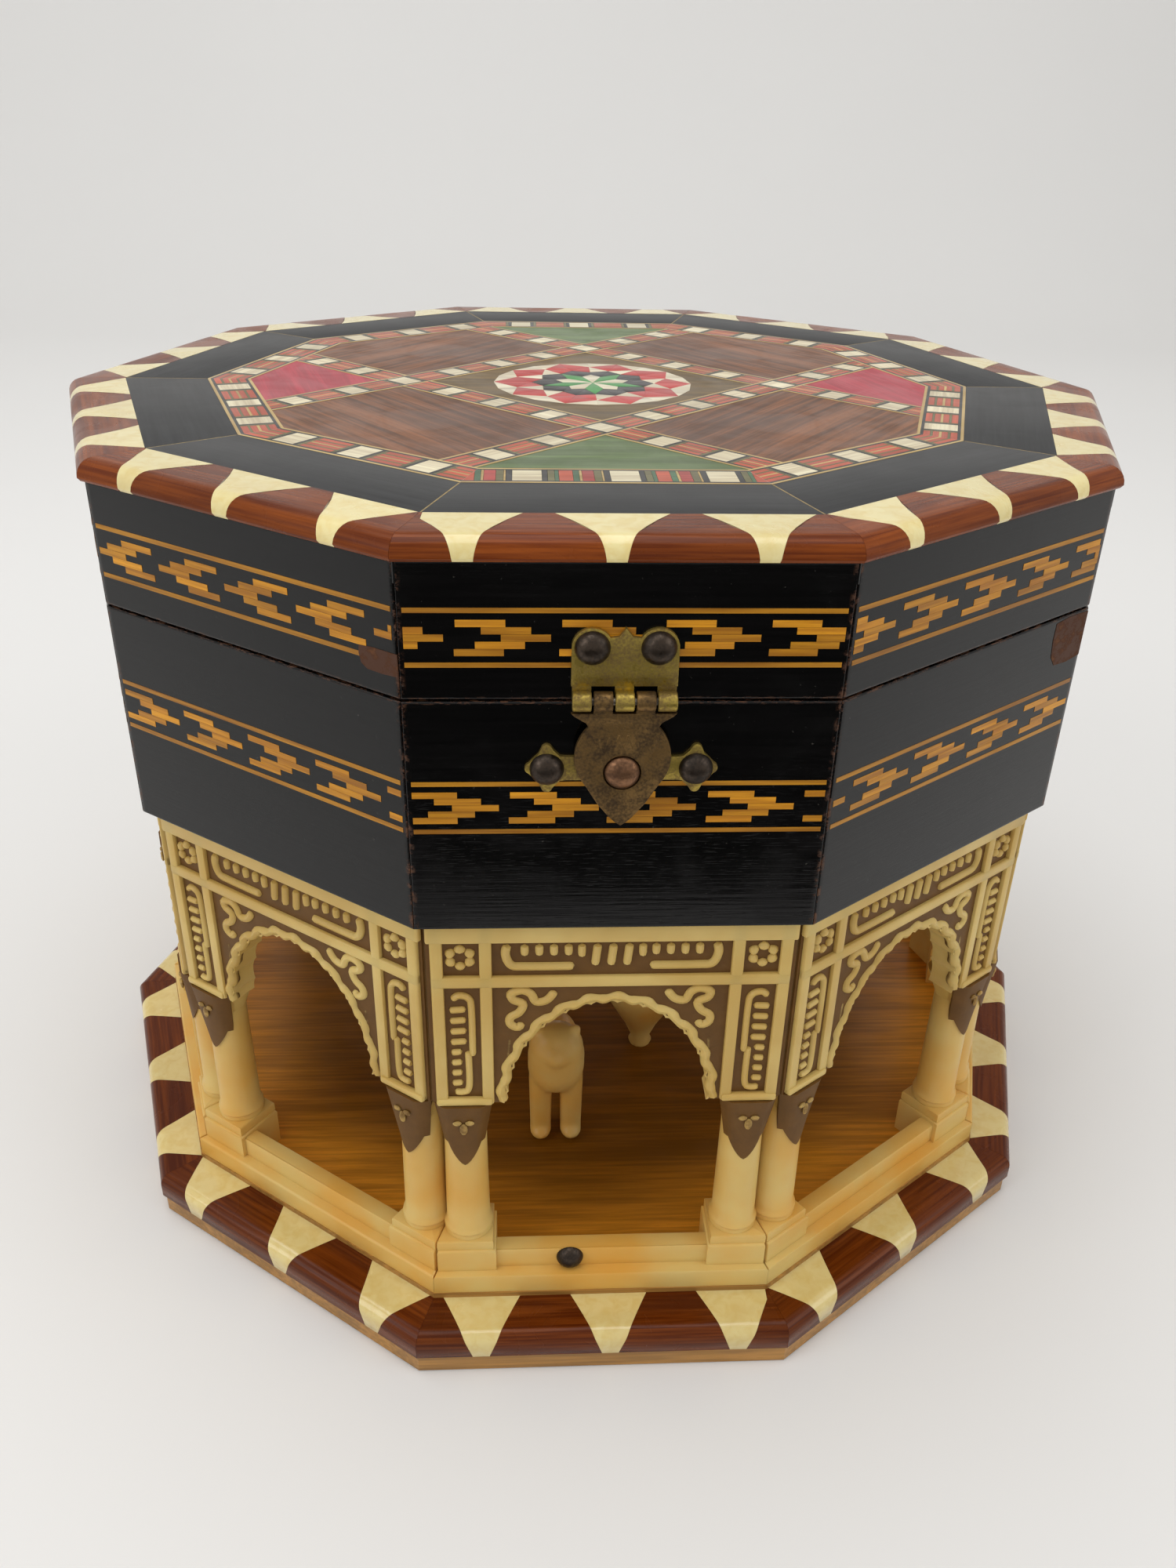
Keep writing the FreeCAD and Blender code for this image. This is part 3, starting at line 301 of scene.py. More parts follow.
def inlay(name, roughness=0.28, coat=0.2, depth=(0.62, 0.55, 0.5), gloss=0.35, smear=0.15):
    """Dyed veneers: each tile has its own tint and a grain of the given depth along its UV map."""
    material, tree, shader = new_material(name)
    tint = attribute(tree, "tint", "Color")
    grain = grained(tree, grain_map(tree), tint, mix(tree, 1.0, tint, depth, "MULTIPLY"))
    feed(tree, shader, {
        "Base Color": grain["Color"],
        "Roughness": handled(tree, millimetres(tree), roughness, smear)["Roughness"],
        "Normal": bump(tree, grain["Height"], 0.06, 0.0003),
        "Specular IOR Level": gloss, "Coat Weight": coat, "Coat Roughness": 0.15})
    return material


def lacquer():
    """Black lacquer on the walls: faint grain, worn brown corners and a rubbed parting line."""
    material, tree, shader = new_material("black lacquer")
    uv = grain_map(tree)
    grain = grained(tree, uv, look().lacquer, shaded(look().lacquer, 0.35))
    handling = handled(tree, uv, 0.10, 0.14)
    edge = attribute(tree, "edge", "Fac")
    patch = noise(tree, uv, 0.45, 5.0, roughness=0.7)
    rubbed = calc(tree, "MULTIPLY", edge, ramp(tree, patch, 0.48, 0.60))
    broken = calc(tree, "MAXIMUM", calc(tree, "SUBTRACT", edge, 1.0), 0.0)
    worn = calc(tree, "MULTIPLY_ADD", broken, 2.0, rubbed)
    bare = mix(tree, ramp(tree, patch, 0.5, 0.8), linear("4E3020"), linear("7A5234"))
    dust = calc(tree, "MULTIPLY", handling["Dust"], 0.3)
    dusty = mix(tree, dust, grain["Color"], linear("6A6862"))
    feed(tree, shader, {
        "Base Color": mix(tree, worn, dusty, bare),
        "Roughness": calc(tree, "MULTIPLY_ADD", worn, 0.45, handling["Roughness"]),
        "Normal": bump(tree, grain["Height"], 0.10, 0.0003),
        "Specular IOR Level": 0.3})
    return material


def board_lacquer():
    """Plain black lacquer on the board under the lid veneers."""
    material, tree, shader = new_material("lid board lacquer")
    place = millimetres(tree)
    grain = grained(tree, place, look().lacquer, shaded(look().lacquer, 0.4))
    feed(tree, shader, {
        "Base Color": grain["Color"],
        "Roughness": handled(tree, place, 0.14, 0.15)["Roughness"],
        "Specular IOR Level": 0.4})
    return material


def court_wood():
    """Golden boards of the court, with painted shade darkening the middle and painted light brightening
    them near the sills.
    """
    court = look().court
    material = wood("court wood", shaded(court, 1.05), shaded(court, 0.58), 0.3, 0.1, 0.25)
    tree = material.node_tree
    shader = tree.nodes["Principled BSDF"]
    distance = add(tree, "VectorMath", {0: millimetres(tree)}, operation="LENGTH").outputs["Value"]
    # Painted shade and light: the wood colour is multiplied darker in the middle of the court and brighter
    # near the sills.
    shade = mix(tree, ramp(tree, distance, 58.0, 87.0), (0.46, 0.44, 0.4), (1.6, 1.72, 2.1))
    plain = shader.inputs["Base Color"].links[0].from_socket
    feed(tree, shader, {"Base Color": mix(tree, 1.0, plain, shade, "MULTIPLY")})
    return material


def moulding():
    """Cream moulded resin: brown wash in the grounds, rubbed off the raised parts, ochre below."""
    name = "washed resin"
    if name in bpy.data.materials:
        return bpy.data.materials[name]
    material, tree, shader = new_material(name)
    place = millimetres(tree)
    mottle = noise(tree, place, 0.35, 6.0, roughness=0.65)
    flow = noise(tree, place, 0.06, 3.0)
    ground = calc(tree, "SUBTRACT", attribute(tree, "relief", "Fac"), 0.25)
    clean = ramp(tree, calc(tree, "MULTIPLY_ADD", mottle, 0.5, ground), 0.28, 0.52)
    height = add(tree, "SeparateXYZ", {"Vector": place}).outputs["Z"]
    ochre = mix(tree, ramp(tree, height, 58.0, 22.0), look().cream, linear("DAA44A"))
    warm = mix(tree, ramp(tree, flow, 0.3, 0.75), ochre, linear("D8BC74"))
    stain = mix(tree, mottle, shaded(look().wash, 0.7), shaded(look().wash, 1.4))
    feed(tree, shader, {
        "Base Color": mix(tree, clean, stain, warm),
        "Roughness": calc(tree, "MULTIPLY_ADD", clean, -0.22, 0.58),
        "Normal": bump(tree, mottle, 0.12, 0.0004), "Specular IOR Level": 0.3,
        "Subsurface Weight": 0.12, "Subsurface Radius": (0.004, 0.002, 0.001),
        "Subsurface Scale": 0.5})
    return material


def metal(name, tint, dark, roughness=0.42):
    """Aged sheet metal: bright where rubbed, brown in the patches, with fine scratches."""
    material, tree, shader = new_material(name)
    place = millimetres(tree)
    patch = noise(tree, place, 0.28, 6.0, roughness=0.7)
    fine = noise(tree, place, 2.6, 4.0)
    level = calc(tree, "MULTIPLY_ADD", fine, 0.35, calc(tree, "MULTIPLY", patch, 0.65))
    aged = ramp(tree, level, 0.38, 0.62)
    feed(tree, shader, {
        "Base Color": mix(tree, aged, tint, dark),
        "Roughness": calc(tree, "MULTIPLY_ADD", aged, 0.22, roughness - 0.08),
        "Metallic": calc(tree, "MULTIPLY_ADD", aged, -0.35, 1.0),
        "Normal": bump(tree, fine, 0.15, 0.0003)})
    return material


def felt():
    """Short-piled red felt of the linings."""
    material, tree, shader = new_material("red felt")
    place = millimetres(tree)
    fibre = noise(tree, place, 2.4, 6.0, roughness=0.8)
    rub = ramp(tree, noise(tree, place, 0.05, 3.0), 0.4, 0.7)
    pile = mix(tree, fibre, shaded(look().felt, 0.5), shaded(look().felt, 1.3))
    feed(tree, shader, {
        "Base Color": mix(tree, rub, pile, shaded(look().felt, 1.1)),
        "Normal": bump(tree, fibre, 0.6, 0.0005), "Roughness": 0.95,
        "Sheen Weight": 0.15, "Sheen Roughness": 0.5})
    return material


def bone_finish():
    """Polished bone: cream with faint streaks and ochre stains."""
    material, tree, shader = new_material("polished bone")
    tint = attribute(tree, "tint", "Color")
    place = millimetres(tree)
    vein = ramp(tree, noise(tree, place, 0.5, 5.0, distortion=0.6), 0.35, 0.75)
    stain = ramp(tree, noise(tree, place, 0.12, 4.0), 0.5, 0.8)
    veined = mix(tree, vein, tint, mix(tree, 1.0, tint, (0.93, 0.86, 0.7), "MULTIPLY"))
    aged = mix(tree, calc(tree, "MULTIPLY", stain, 0.5), veined, linear("D3B978"))
    feed(tree, shader, {
        "Base Color": aged,
        "Roughness": handled(tree, place, 0.16, 0.16)["Roughness"],
        "Coat Weight": 0.5, "Coat Roughness": 0.08,
        "Subsurface Weight": 0.08, "Subsurface Radius": (0.002, 0.0015, 0.001)})
    return material


# Mesh building blocks


def of_kind(geometry, kind):
    return [item for item in geometry if isinstance(item, kind)]


def faces_of(verts):
    return list({face for vert in verts for face in vert.link_faces})


def edges_of(verts):
    return list({edge for vert in verts for edge in vert.link_edges})


def bevel_edges(bm, edges, offset, segments=2):
    return bmesh.ops.bevel(bm, geom=edges, offset=offset, affect="EDGES", segments=segments,
                           profile=0.5, material=-1)["faces"]


class Sheet:
    """Mesh under construction: tint, relief and edge of its corners and a UV map along the grain."""

    def __init__(self):
        self.bm = bmesh.new()
        self.tint = self.bm.loops.layers.float_color.new("tint")
        self.relief = self.bm.verts.layers.float.new("relief")
        self.edge = self.bm.verts.layers.float.new("edge")
        self.uv = self.bm.loops.layers.uv.new("grain")

    def everything(self):
        return self.bm.verts[:] + self.bm.edges[:] + self.bm.faces[:]

    def mark(self, verts, tint=PLAIN, relief=1.0):
        """Give new vertices and their faces a tint, a relief and a UV map whose first axis is x."""
        along = Vector((1, 0, 0))
        shift = Vector((random.random() * 90, random.random() * 90))
        for vert in verts:
            vert[self.relief] = relief
        for face in faces_of(verts):
            side = (face.normal if face.normal.length > 0 else UP).cross(along)
            side = side.normalized() if side.length > 1e-4 else UP
            for loop in face.loops:
                loop[self.tint] = (*tint, 1)
                loop[self.uv].uv = Vector((loop.vert.co.dot(along), loop.vert.co.dot(side))) + shift
        return verts

    def settle(self, verts, tint=PLAIN, relief=1.0):
        """Mark a finished form after bringing its normals up to date."""
        self.bm.normal_update()
        return self.mark(verts, tint, relief)

    def outward(self, verts):
        bmesh.ops.recalc_face_normals(self.bm, faces=faces_of(verts))

    def soften(self, verts, edges, offset):
        """Bevel edges of a form and return all its vertices."""
        made = bevel_edges(self.bm, edges, offset)
        return list({v for face in made for v in face.verts} | {v for v in verts if v.is_valid})

    def thicken(self, faces, offset):
        """Extrude faces by an offset; returns the moved vertices and edges."""
        made = bmesh.ops.extrude_face_region(self.bm, geom=faces)["geom"]
        top = of_kind(made, bmesh.types.BMVert)
        bmesh.ops.translate(self.bm, verts=top, vec=offset)
        return top, of_kind(made, bmesh.types.BMEdge)

    def block(self, centre, dims, tint=PLAIN, turn=Matrix.Identity(4), bevel=0.0):
        """Rectangular block, bevelled all round."""
        matrix = Matrix.Translation(centre) @ turn @ Matrix.Diagonal((*dims, 1))
        verts = bmesh.ops.create_cube(self.bm, size=1, matrix=matrix)["verts"]
        if bevel:
            verts = self.soften(verts, edges_of(verts), bevel)
        return self.settle(verts, tint)

    def plate(self, corners, low, high, tint=PLAIN, relief=1.0, bevel=0.0):
        """Flat plate on a plan outline, with its upper edges bevelled."""
        face = self.bm.faces.new([self.bm.verts.new((x, y, low)) for x, y in corners])
        verts = list(face.verts)
        top, edges = self.thicken([face], (0, 0, high - low))
        verts += top
        self.outward(verts)
        if bevel:
            verts = self.soften(verts, edges, bevel)
        return self.settle(verts, tint, relief)

    def cloth(self, columns, rows, place, tint=PLAIN, relief=1.0):
        """Closed skin: a grid placed by a function of two shares, joined round and capped."""
        verts = bmesh.ops.create_grid(self.bm, x_segments=columns, y_segments=rows, size=0.5)["verts"]
        for vert in verts:
            vert.co = place(vert.co.x + 0.5, vert.co.y + 0.5)
        bmesh.ops.remove_doubles(self.bm, verts=verts, dist=1e-5)
        verts = [vert for vert in verts if vert.is_valid]
        open_edges = [edge for edge in edges_of(verts) if edge.is_boundary]
        if open_edges:
            bmesh.ops.holes_fill(self.bm, edges=open_edges, sides=0)
        self.outward(verts)
        return self.settle(verts, tint, relief)

    def bar(self, reach, path, width, height, relief=1.0, steps=6, around=8, swell=None):
        """Rounded bar along points (x, z) on a face at a reach, its foot left in the wash."""
        points = even_path(smooth_path([Vector((x, -reach, z)) for x, z in path], steps), width / 4)
        total = len(points) - 1
        long = sum((a - b).length for a, b in zip(points, points[1:]))
        out = Vector((0, -1, 0))

        def place(u, v):
            index = min(int(round(u * total)), total)
            side = (points[min(index + 1, total)] - points[max(index - 1, 0)]).cross(out).normalized()
            near = min(index, total - index) * long / total
            taper = math.sqrt(max(0.0, 1 - (1 - min(1.0, near / (width / 2))) ** 2))
            scale = taper * (swell(u) if swell else 1)
            across, up = math.cos(math.tau * v), math.sin(math.tau * v)
            return points[index] + side * (width / 2 * scale * across) + out * (height * scale * up)

        for vert in self.cloth(total, around, place):
            share = 0.42 + 0.75 * (-vert.co.y - reach) / height
            vert[self.relief] = relief * min(1.0, max(0.3, share))

    def turned(self, profile, centre, segments=28, relief=1.0, axis="Z"):
        """Shape spun from a profile of (radius, height) points, standing on Z or laid along X or -Y."""
        old = set(self.bm.verts)
        verts = [self.bm.verts.new((r, 0, h)) for r, h in profile]
        edges = [self.bm.edges.new(pair) for pair in zip(verts, verts[1:])]
        bmesh.ops.spin(self.bm, geom=verts + edges, cent=(0, 0, 0), axis=UP, angle=math.tau,
                       steps=segments, use_merge=True)
        bmesh.ops.remove_doubles(self.bm, verts=[v for v in self.bm.verts if v not in old], dist=1e-4)
        verts = [vert for vert in self.bm.verts if vert not in old]
        self.outward(verts)
        if axis != "Z":
            lay = Matrix.Rotation(math.pi / 2, 3, "Y" if axis == "X" else "X")
            bmesh.ops.rotate(self.bm, verts=verts, cent=(0, 0, 0), matrix=lay)
        bmesh.ops.translate(self.bm, verts=verts, vec=centre)
        return self.settle(verts, PLAIN, relief)

    def score(self, point, normal, clear=False):
        """Cut along a plane, clear what lies in front of it if asked, and return the cut edges."""
        cut = bmesh.ops.bisect_plane(self.bm, geom=self.everything(), dist=1e-5, plane_co=point,
                                     plane_no=normal, clear_outer=clear)
        return of_kind(cut["geom_cut"], bmesh.types.BMEdge)

    def clip(self, planes):
        """Keep what lies behind every plane, each (point, outward normal), and close the cuts."""
        for point, normal in planes:
            edges = self.score(point, normal, clear=True)
            if edges:
                bmesh.ops.edgeloop_fill(self.bm, edges=edges)

    def turn(self, angle, verts=None):
        """Turn the mesh, or some of its vertices, about the upright axis."""
        bmesh.ops.rotate(self.bm, verts=verts or self.bm.verts[:], cent=(0, 0, 0),
                         matrix=Matrix.Rotation(angle, 3, "Z"))

    def take(self, other, angle=0.0):
        """Add another sheet's mesh to this one, turned by an angle."""
        other.turn(angle)
        mesh = bpy.data.meshes.new("part")
        other.bm.to_mesh(mesh)
        other.bm.free()
        self.bm.from_mesh(mesh)
        bpy.data.meshes.remove(mesh)

    def copy_round(self):
        """Repeat the front on the other sides."""
        source = self.everything()
        for side in range(1, SIDES):
            made = bmesh.ops.duplicate(self.bm, geom=source)["geom"]
            self.turn(side * TURN, of_kind(made, bmesh.types.BMVert))


def even_path(points, spacing):
    """The same line with points at even spacing."""
    reach = [0.0]
    for a, b in zip(points, points[1:]):
        reach.append(reach[-1] + (b - a).length)
    count = max(6, int(reach[-1] / spacing))
    line, index = [], 0
    for step in range(count + 1):
        target = reach[-1] * step / count
        while index < len(points) - 2 and reach[index + 1] < target:
            index += 1
        gap = reach[index + 1] - reach[index]
        line.append(points[index].lerp(points[index + 1], (target - reach[index]) / gap if gap else 0))
    return line


def smooth_path(points, steps):
    """Points along a smooth line through the given ones."""
    if len(points) == 2:
        count = max(4, steps)
        return [points[0].lerp(points[1], i / count) for i in range(count + 1)]
    line = []
    for index in range(len(points) - 1):
        before = points[max(index - 1, 0)]
        first, second = points[index], points[index + 1]
        after = points[min(index + 2, len(points) - 1)]
        square = 2 * before - 5 * first + 4 * second - after
        cube = 3 * first - before - 3 * second + after
        for t in (step / steps for step in range(steps)):
            line.append(0.5 * (2 * first + (second - before) * t + square * t ** 2 + cube * t ** 3))
    return line + [points[-1]]


def trapezium(reach, back, gap=0.0):
    """Plan corners of a strip of the front side, mitred at both ends."""
    outer, inner = reach * TAN - gap, back * TAN - gap
    return [(-outer, -reach), (outer, -reach), (inner, -back), (-inner, -back)]


def decagon(reach):
    """Plan corners of a ten-sided board whose sides lie at a reach."""
    corner = reach / math.cos(MITRE)
    angles = [TURN * (side + 0.5) for side in range(SIDES)]
    return [(corner * math.sin(a), -corner * math.cos(a)) for a in angles]


def flip(points, sign):
    """Points of the right half, or their mirror image for a sign of -1."""
    return [(sign * a, b) for a, b in points]


def new_object(name, data):
    item = bpy.data.objects.new(name, data)
    bpy.context.scene.collection.objects.link(item)
    return item


def piece(sheet, name, body, nodes, materials, side=0, angle=40):
    """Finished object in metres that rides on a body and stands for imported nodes."""
    sheet.turn(side * TURN)
    bmesh.ops.scale(sheet.bm, verts=sheet.bm.verts[:], vec=(MM, MM, MM))
    mesh = bpy.data.meshes.new(name)
    sheet.bm.to_mesh(mesh)
    sheet.bm.free()
    for material in materials:
        mesh.materials.append(material)
    mesh.shade_smooth()
    mesh.set_sharp_from_angle(angle=math.radians(angle))
    item = new_object(name, mesh)
    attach(item, body)
    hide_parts(*nodes)
    return item


def dress(nodes, material):
    """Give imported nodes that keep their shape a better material."""
    for name in nodes:
        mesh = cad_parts[name].data
        mesh.materials.clear()
        mesh.materials.append(material)


# Walls and marquetry


STAVE, STAVE_PROUD, STAVE_EDGE = 6.0, 0.02, 0.3
CORNER_WEAR, LINE_WEAR, BROKEN = 0.9, 0.5, 1.6
CHIP_RIM = [(1.0, 0.97), (-0.2, 1.0), (-0.97, 0.9), (-1.0, 0.2), (-0.9, -0.55), (-0.6, -0.95),
            (0.2, -1.0), (1.0, -0.9)]
CHIPS = {("lid", 9): (3.4, LID_BAND[0] + 0.1, 6.6, 3.4), ("box", 1): (4.35, BOX_HEAD - 4.4, 8.6, 8.0)}
ARROW = (0.0, 2.5, 5.9, 3.3, 0.1)
ROW, STRIP, STRIP_PROUD = 1.0, 0.4, 0.07


def wall_sheet(foot, head, rubbed):
    """Bevelled lacquered stave; the rubbed height is where the parting line wears."""
    sheet = Sheet()
    reach = WALL + STAVE_PROUD
    outer = reach * TAN
    sheet.plate(trapezium(reach, WALL - STAVE), foot, head)
    outside = [e for e in sheet.bm.edges if all(v.co.y < 0.1 - WALL for v in e.verts)]
    bevel_edges(sheet.bm, outside, STAVE_EDGE, 3)
    for x in (CORNER_WEAR - outer, outer - CORNER_WEAR):
        sheet.score((x, 0, 0), (1, 0, 0))
    for z in (foot + LINE_WEAR, head - LINE_WEAR):
        sheet.score((0, 0, z), UP)
    for vert in sheet.settle(sheet.bm.verts[:]):
        side = (abs(vert.co.x) - outer + CORNER_WEAR) / CORNER_WEAR
        rub = 1 - abs(vert.co.z - rubbed) / LINE_WEAR
        vert[sheet.edge] = min(1.0, max(0.0, side, rub)) if vert.co.y < 1 - WALL else 0.0
    return sheet


def chip(sheet, inset, z, width, height):
    """Bare wood near the right end of a stave, where the veneer has broken away."""
    x = WALL * TAN - inset
    rim = [(x + a * width / 2, -WALL - 0.09, z + b * height / 2) for a, b in CHIP_RIM]
    face = sheet.bm.faces.new([sheet.bm.verts.new(spot) for spot in rim])
    verts = list(face.verts)
    verts += sheet.thicken([face], (0, 0.5, 0))[0]
    sheet.outward(verts)
    for vert in sheet.mark(verts):
        vert[sheet.edge] = BROKEN


def build_walls():
    random.seed(4)
    material = lacquer()
    walls = (("lid", LID_FOOT, RIM_FOOT, LID_FOOT), ("box", BOX_FOOT, BOX_HEAD, BOX_HEAD))
    for side in range(SIDES):
        number = f"{side + 1:02d}"
        for body, foot, head, rubbed in walls:
            stave = wall_sheet(foot, head, rubbed)
            if (body, side) in CHIPS:
                chip(stave, *CHIPS[body, side])
            piece(stave, f"{body}_stave_{number}", body, [f"{body}_wall_{number}"],
                  [material], side)


def band_sheet(low, high, points_left, phase):
    """Tan lines and stepped blocks of one side, a hair proud of the lacquer."""
    sheet = Sheet()
    reach = WALL * TAN - 0.8
    line, block, period = size("line"), size("block"), size("period")
    y = STRIP / 2 - STRIP_PROUD - WALL
    for z in (low + line / 2, high - line / 2):
        sheet.block((0, y, z), (2 * reach, STRIP, line), shaded(look().tan, random.uniform(0.62, 0.75)))
    foot = (low + high - len(ARROW) * ROW) / 2
    for row, step in enumerate(ARROW):
        for count in range(-5, 6):
            start = count * period + phase + (-step if points_left else step) + random.uniform(-0.15, 0.15)
            left, right = max(start, -reach), min(start + block, reach)
            if right - left < 0.5:
                continue
            tone = shaded(look().tan, random.uniform(0.72, 1.12))
            centre = ((left + right) / 2, y, foot + (row + 0.5) * ROW)
            sheet.block(centre, (right - left, STRIP, ROW - 0.03), tone)
    return sheet


def build_bands():
    random.seed(11)
    material = inlay("tan marquetry", 0.3, 0.0, (0.5, 0.42, 0.34), 0.35)
    bands = (("lid", LID_BAND[0], LID_BAND[1] + 0.6, (7, 8, 9), -22.0),
             ("box", BOX_BAND[0] + 0.9, BOX_BAND[1] + 1.5, (), -15.2))
    for body, low, high, flipped, front in bands:
        whole = Sheet()
        for side in range(SIDES):
            phase = front if side == 0 else random.uniform(-20, -8)
            whole.take(band_sheet(low, high, side in flipped, phase), side * TURN)
        node = body + "_marquetry_bands"
        piece(whole, node + "_inlay", body, [node], [material])


# Lid top


WHITE, BLACK, OLIVE = linear("EDE4C2"), linear("1D1A18"), linear("6E6A38")
ORANGE, RED, LEAF, STRAW = linear("C9542F"), linear("BE3A30"), linear("3E6B45"), linear("CDB06C")
EDGE_BLOCKS = [(WHITE, 4.2), (BLACK, 0.8), (OLIVE, 1.0), (LEAF, 0.6), (ORANGE, 2.0), (LEAF, 0.9),
               (STRAW, 0.4), (RED, 1.7), (OLIVE, 1.1), (STRAW, 0.3), (BLACK, 0.9)]
CHORD_BLOCKS = [(WHITE, 4.0), (BLACK, 0.6), (OLIVE, 0.6), ("striped", 5.85), (OLIVE, 0.6), (BLACK, 0.6)]
STRIPES = [(ORANGE, 0.2), (OLIVE, 0.08), (ORANGE, 0.18), (STRAW, 0.08), (ORANGE, 0.18), (OLIVE, 0.08),
           (ORANGE, 0.2)]
RING, RING_WIDTH = 67.0, 7.4
CHORD, CHORD_WIDTH = 24.5, 7.0
RISING, FALLING = (math.pi / 4, 5 * math.pi / 4), (3 * math.pi / 4, 7 * math.pi / 4)
MEDALLION = 18.4
VENEER = LID_TOP - 1.25
FILLET = 0.5


def banding_sheet(blocks, period, half, middle, width, start):
    """Straight banding of the lid along x: middle line at y = middle, first white block at start."""
    sheet = Sheet()
    height, z = LID_TOP - VENEER, (VENEER + LID_TOP) / 2
    stretch = period / sum(long for _, long in blocks)
    y = middle - width / 2
    fillets = [(STRAW, FILLET), (BLACK, FILLET)]
    for tint, wide in fillets + [(None, width - 4 * FILLET)] + fillets[::-1]:
        if tint:
            sheet.block((0, y + wide / 2, z), (2 * half, wide, height), tint)
        else:
            x, index = start, 0
            while x < half:
                kind, long = blocks[index % len(blocks)]
                long *= stretch
                low = y
                for tone, share in STRIPES if kind == "striped" else [(kind, 1.0)]:
                    part = share * wide
                    sheet.block((x + long / 2, low + part / 2, z), (long - 0.04, part - 0.02, height),
                                shaded(tone, random.uniform(0.85, 1.1)))
                    low += part
                x += long
                index += 1
        y += wide
    return sheet


def heading(angle):
    """Plan direction, turned from the front."""
    return Vector((math.sin(angle), -math.cos(angle), 0))


def side_planes(reach):
    """Planes of a decagon, each (point, outward normal)."""
    return [(heading(side * TURN) * reach, heading(side * TURN)) for side in range(SIDES)]


def mitre_planes():
    """Planes that mitre a strip of the front side at both ends, a hair short of its neighbours."""
    normals = [Vector((sign * math.cos(MITRE), math.sin(MITRE), 0)) for sign in (-1, 1)]
    return [(normal * -0.02, normal) for normal in normals]


def beyond(angle):
    """Keeps what lies outside the chord that faces an angle."""
    return heading(angle) * (CHORD + CHORD_WIDTH / 2), -heading(angle)


def within(angle):
    """Keeps what lies on the middle side of the chord that faces an angle."""
    return heading(angle) * (CHORD - CHORD_WIDTH / 2), heading(angle)


def build_lid_top():
    random.seed(5)
    dyed = inlay("dyed bandings", 0.3, 0.15)
    black = inlay("black border", 0.42, 0.0, (0.45, 0.45, 0.46), 0.4, 0.03)
    border = Sheet()
    border.plate(trapezium(FIELD, RING, 0.1), VENEER, LID_TOP - 0.02, linear("2C2D2F"), bevel=0.05)
    middle = (RING + FIELD) / 2
    long = (FIELD - RING) / math.cos(MITRE) - 0.3
    border.block((-middle * TAN, -middle, LID_TOP - 0.62), (long, 0.22, 1.2), shaded(STRAW, 0.7),
                 Matrix.Rotation(math.pi / 2 - MITRE, 4, "Z"))
    border.copy_round()
    piece(border, "lid_border_strips", "lid", ["lid_top_border"], [black])

    banding = Sheet()
    for side in range(SIDES):
        blocks, period, start = (EDGE_BLOCKS, 13.9, -28.5) if side == 0 else (CHORD_BLOCKS, 13.25, -28.7)
        strip = banding_sheet(blocks, period, RING * TAN, RING_WIDTH / 2 - RING, RING_WIDTH, start)
        strip.clip(mitre_planes())
        banding.take(strip, side * TURN)
    inside = side_planes(RING - RING_WIDTH)
    right, left = RISING
    ends = [beyond(right)], [beyond(left)], [within(right), within(left)]
    for angles, runs in ((RISING, ([],)), (FALLING, ends)):
        for angle in angles:
            for planes in runs:
                strip = banding_sheet(CHORD_BLOCKS, CHORD / 2, 66.0, -CHORD, CHORD_WIDTH, -75.5)
                strip.turn(angle)
                strip.clip(inside + planes)
                banding.take(strip)
    piece(banding, "lid_bandings", "lid", ["lid_top_banding"], [dyed])
    build_medallion(dyed)


def build_medallion(material):
    """Ten-rayed medallion: a pale and red ring, a dark ground and a green star with pale darts."""
    sheet = Sheet()

    def spot(r, angle):
        return r * math.sin(angle), -r * math.cos(angle)

    def tile(corners, tint, drop=0.02, bevel=0.03):
        sheet.plate(corners, VENEER, LID_TOP - drop, tint, bevel=bevel)

    green, pale, pink, ground = linear("3FA04A"), linear("F2EBD0"), linear("CE3A36"), linear("201C1E")
    rim, ring, inner, core = MEDALLION - 0.1, MEDALLION * 0.80, MEDALLION * 0.62, MEDALLION * 0.30
    valley = inner * 0.84
    for index in range(SIDES):
        a, odd = index * TURN, index % 2
        left, right = a - MITRE, a + MITRE
        peak, notch = spot(ring, a), spot(inner * 0.86, a)
        for corners, tint in (
                ((spot(rim, left), spot(rim, a), peak), pale),
                ((spot(rim, left), peak, spot(inner, left)), pink),
                ((spot(rim, a), spot(rim, right), peak), pale),
                ((spot(rim, right), spot(inner, right), peak), pink),
                ((peak, spot(inner, left), notch), pale if odd else pink),
                ((peak, notch, spot(inner, right)), pink if odd else pale)):
            tile(corners, shaded(tint, random.uniform(0.88, 1.08)))
        tile((spot(valley, a), spot(inner, left), spot(core, left)), ground)
        tile((spot(valley, a), spot(core, right), spot(inner, right)), ground)
        dart = spot(inner * 0.62 if odd else valley, a)
        tile((dart, spot(core, left), (0, 0), spot(core, right)), pale if odd else green, 0.0)
        if odd:
            tile((spot(valley, a), spot(core, left), dart, spot(core, right)), ground, bevel=0.0)
    sheet.outward(sheet.bm.verts[:])
    piece(sheet, "lid_star", "lid", ["lid_medallion"], [material])


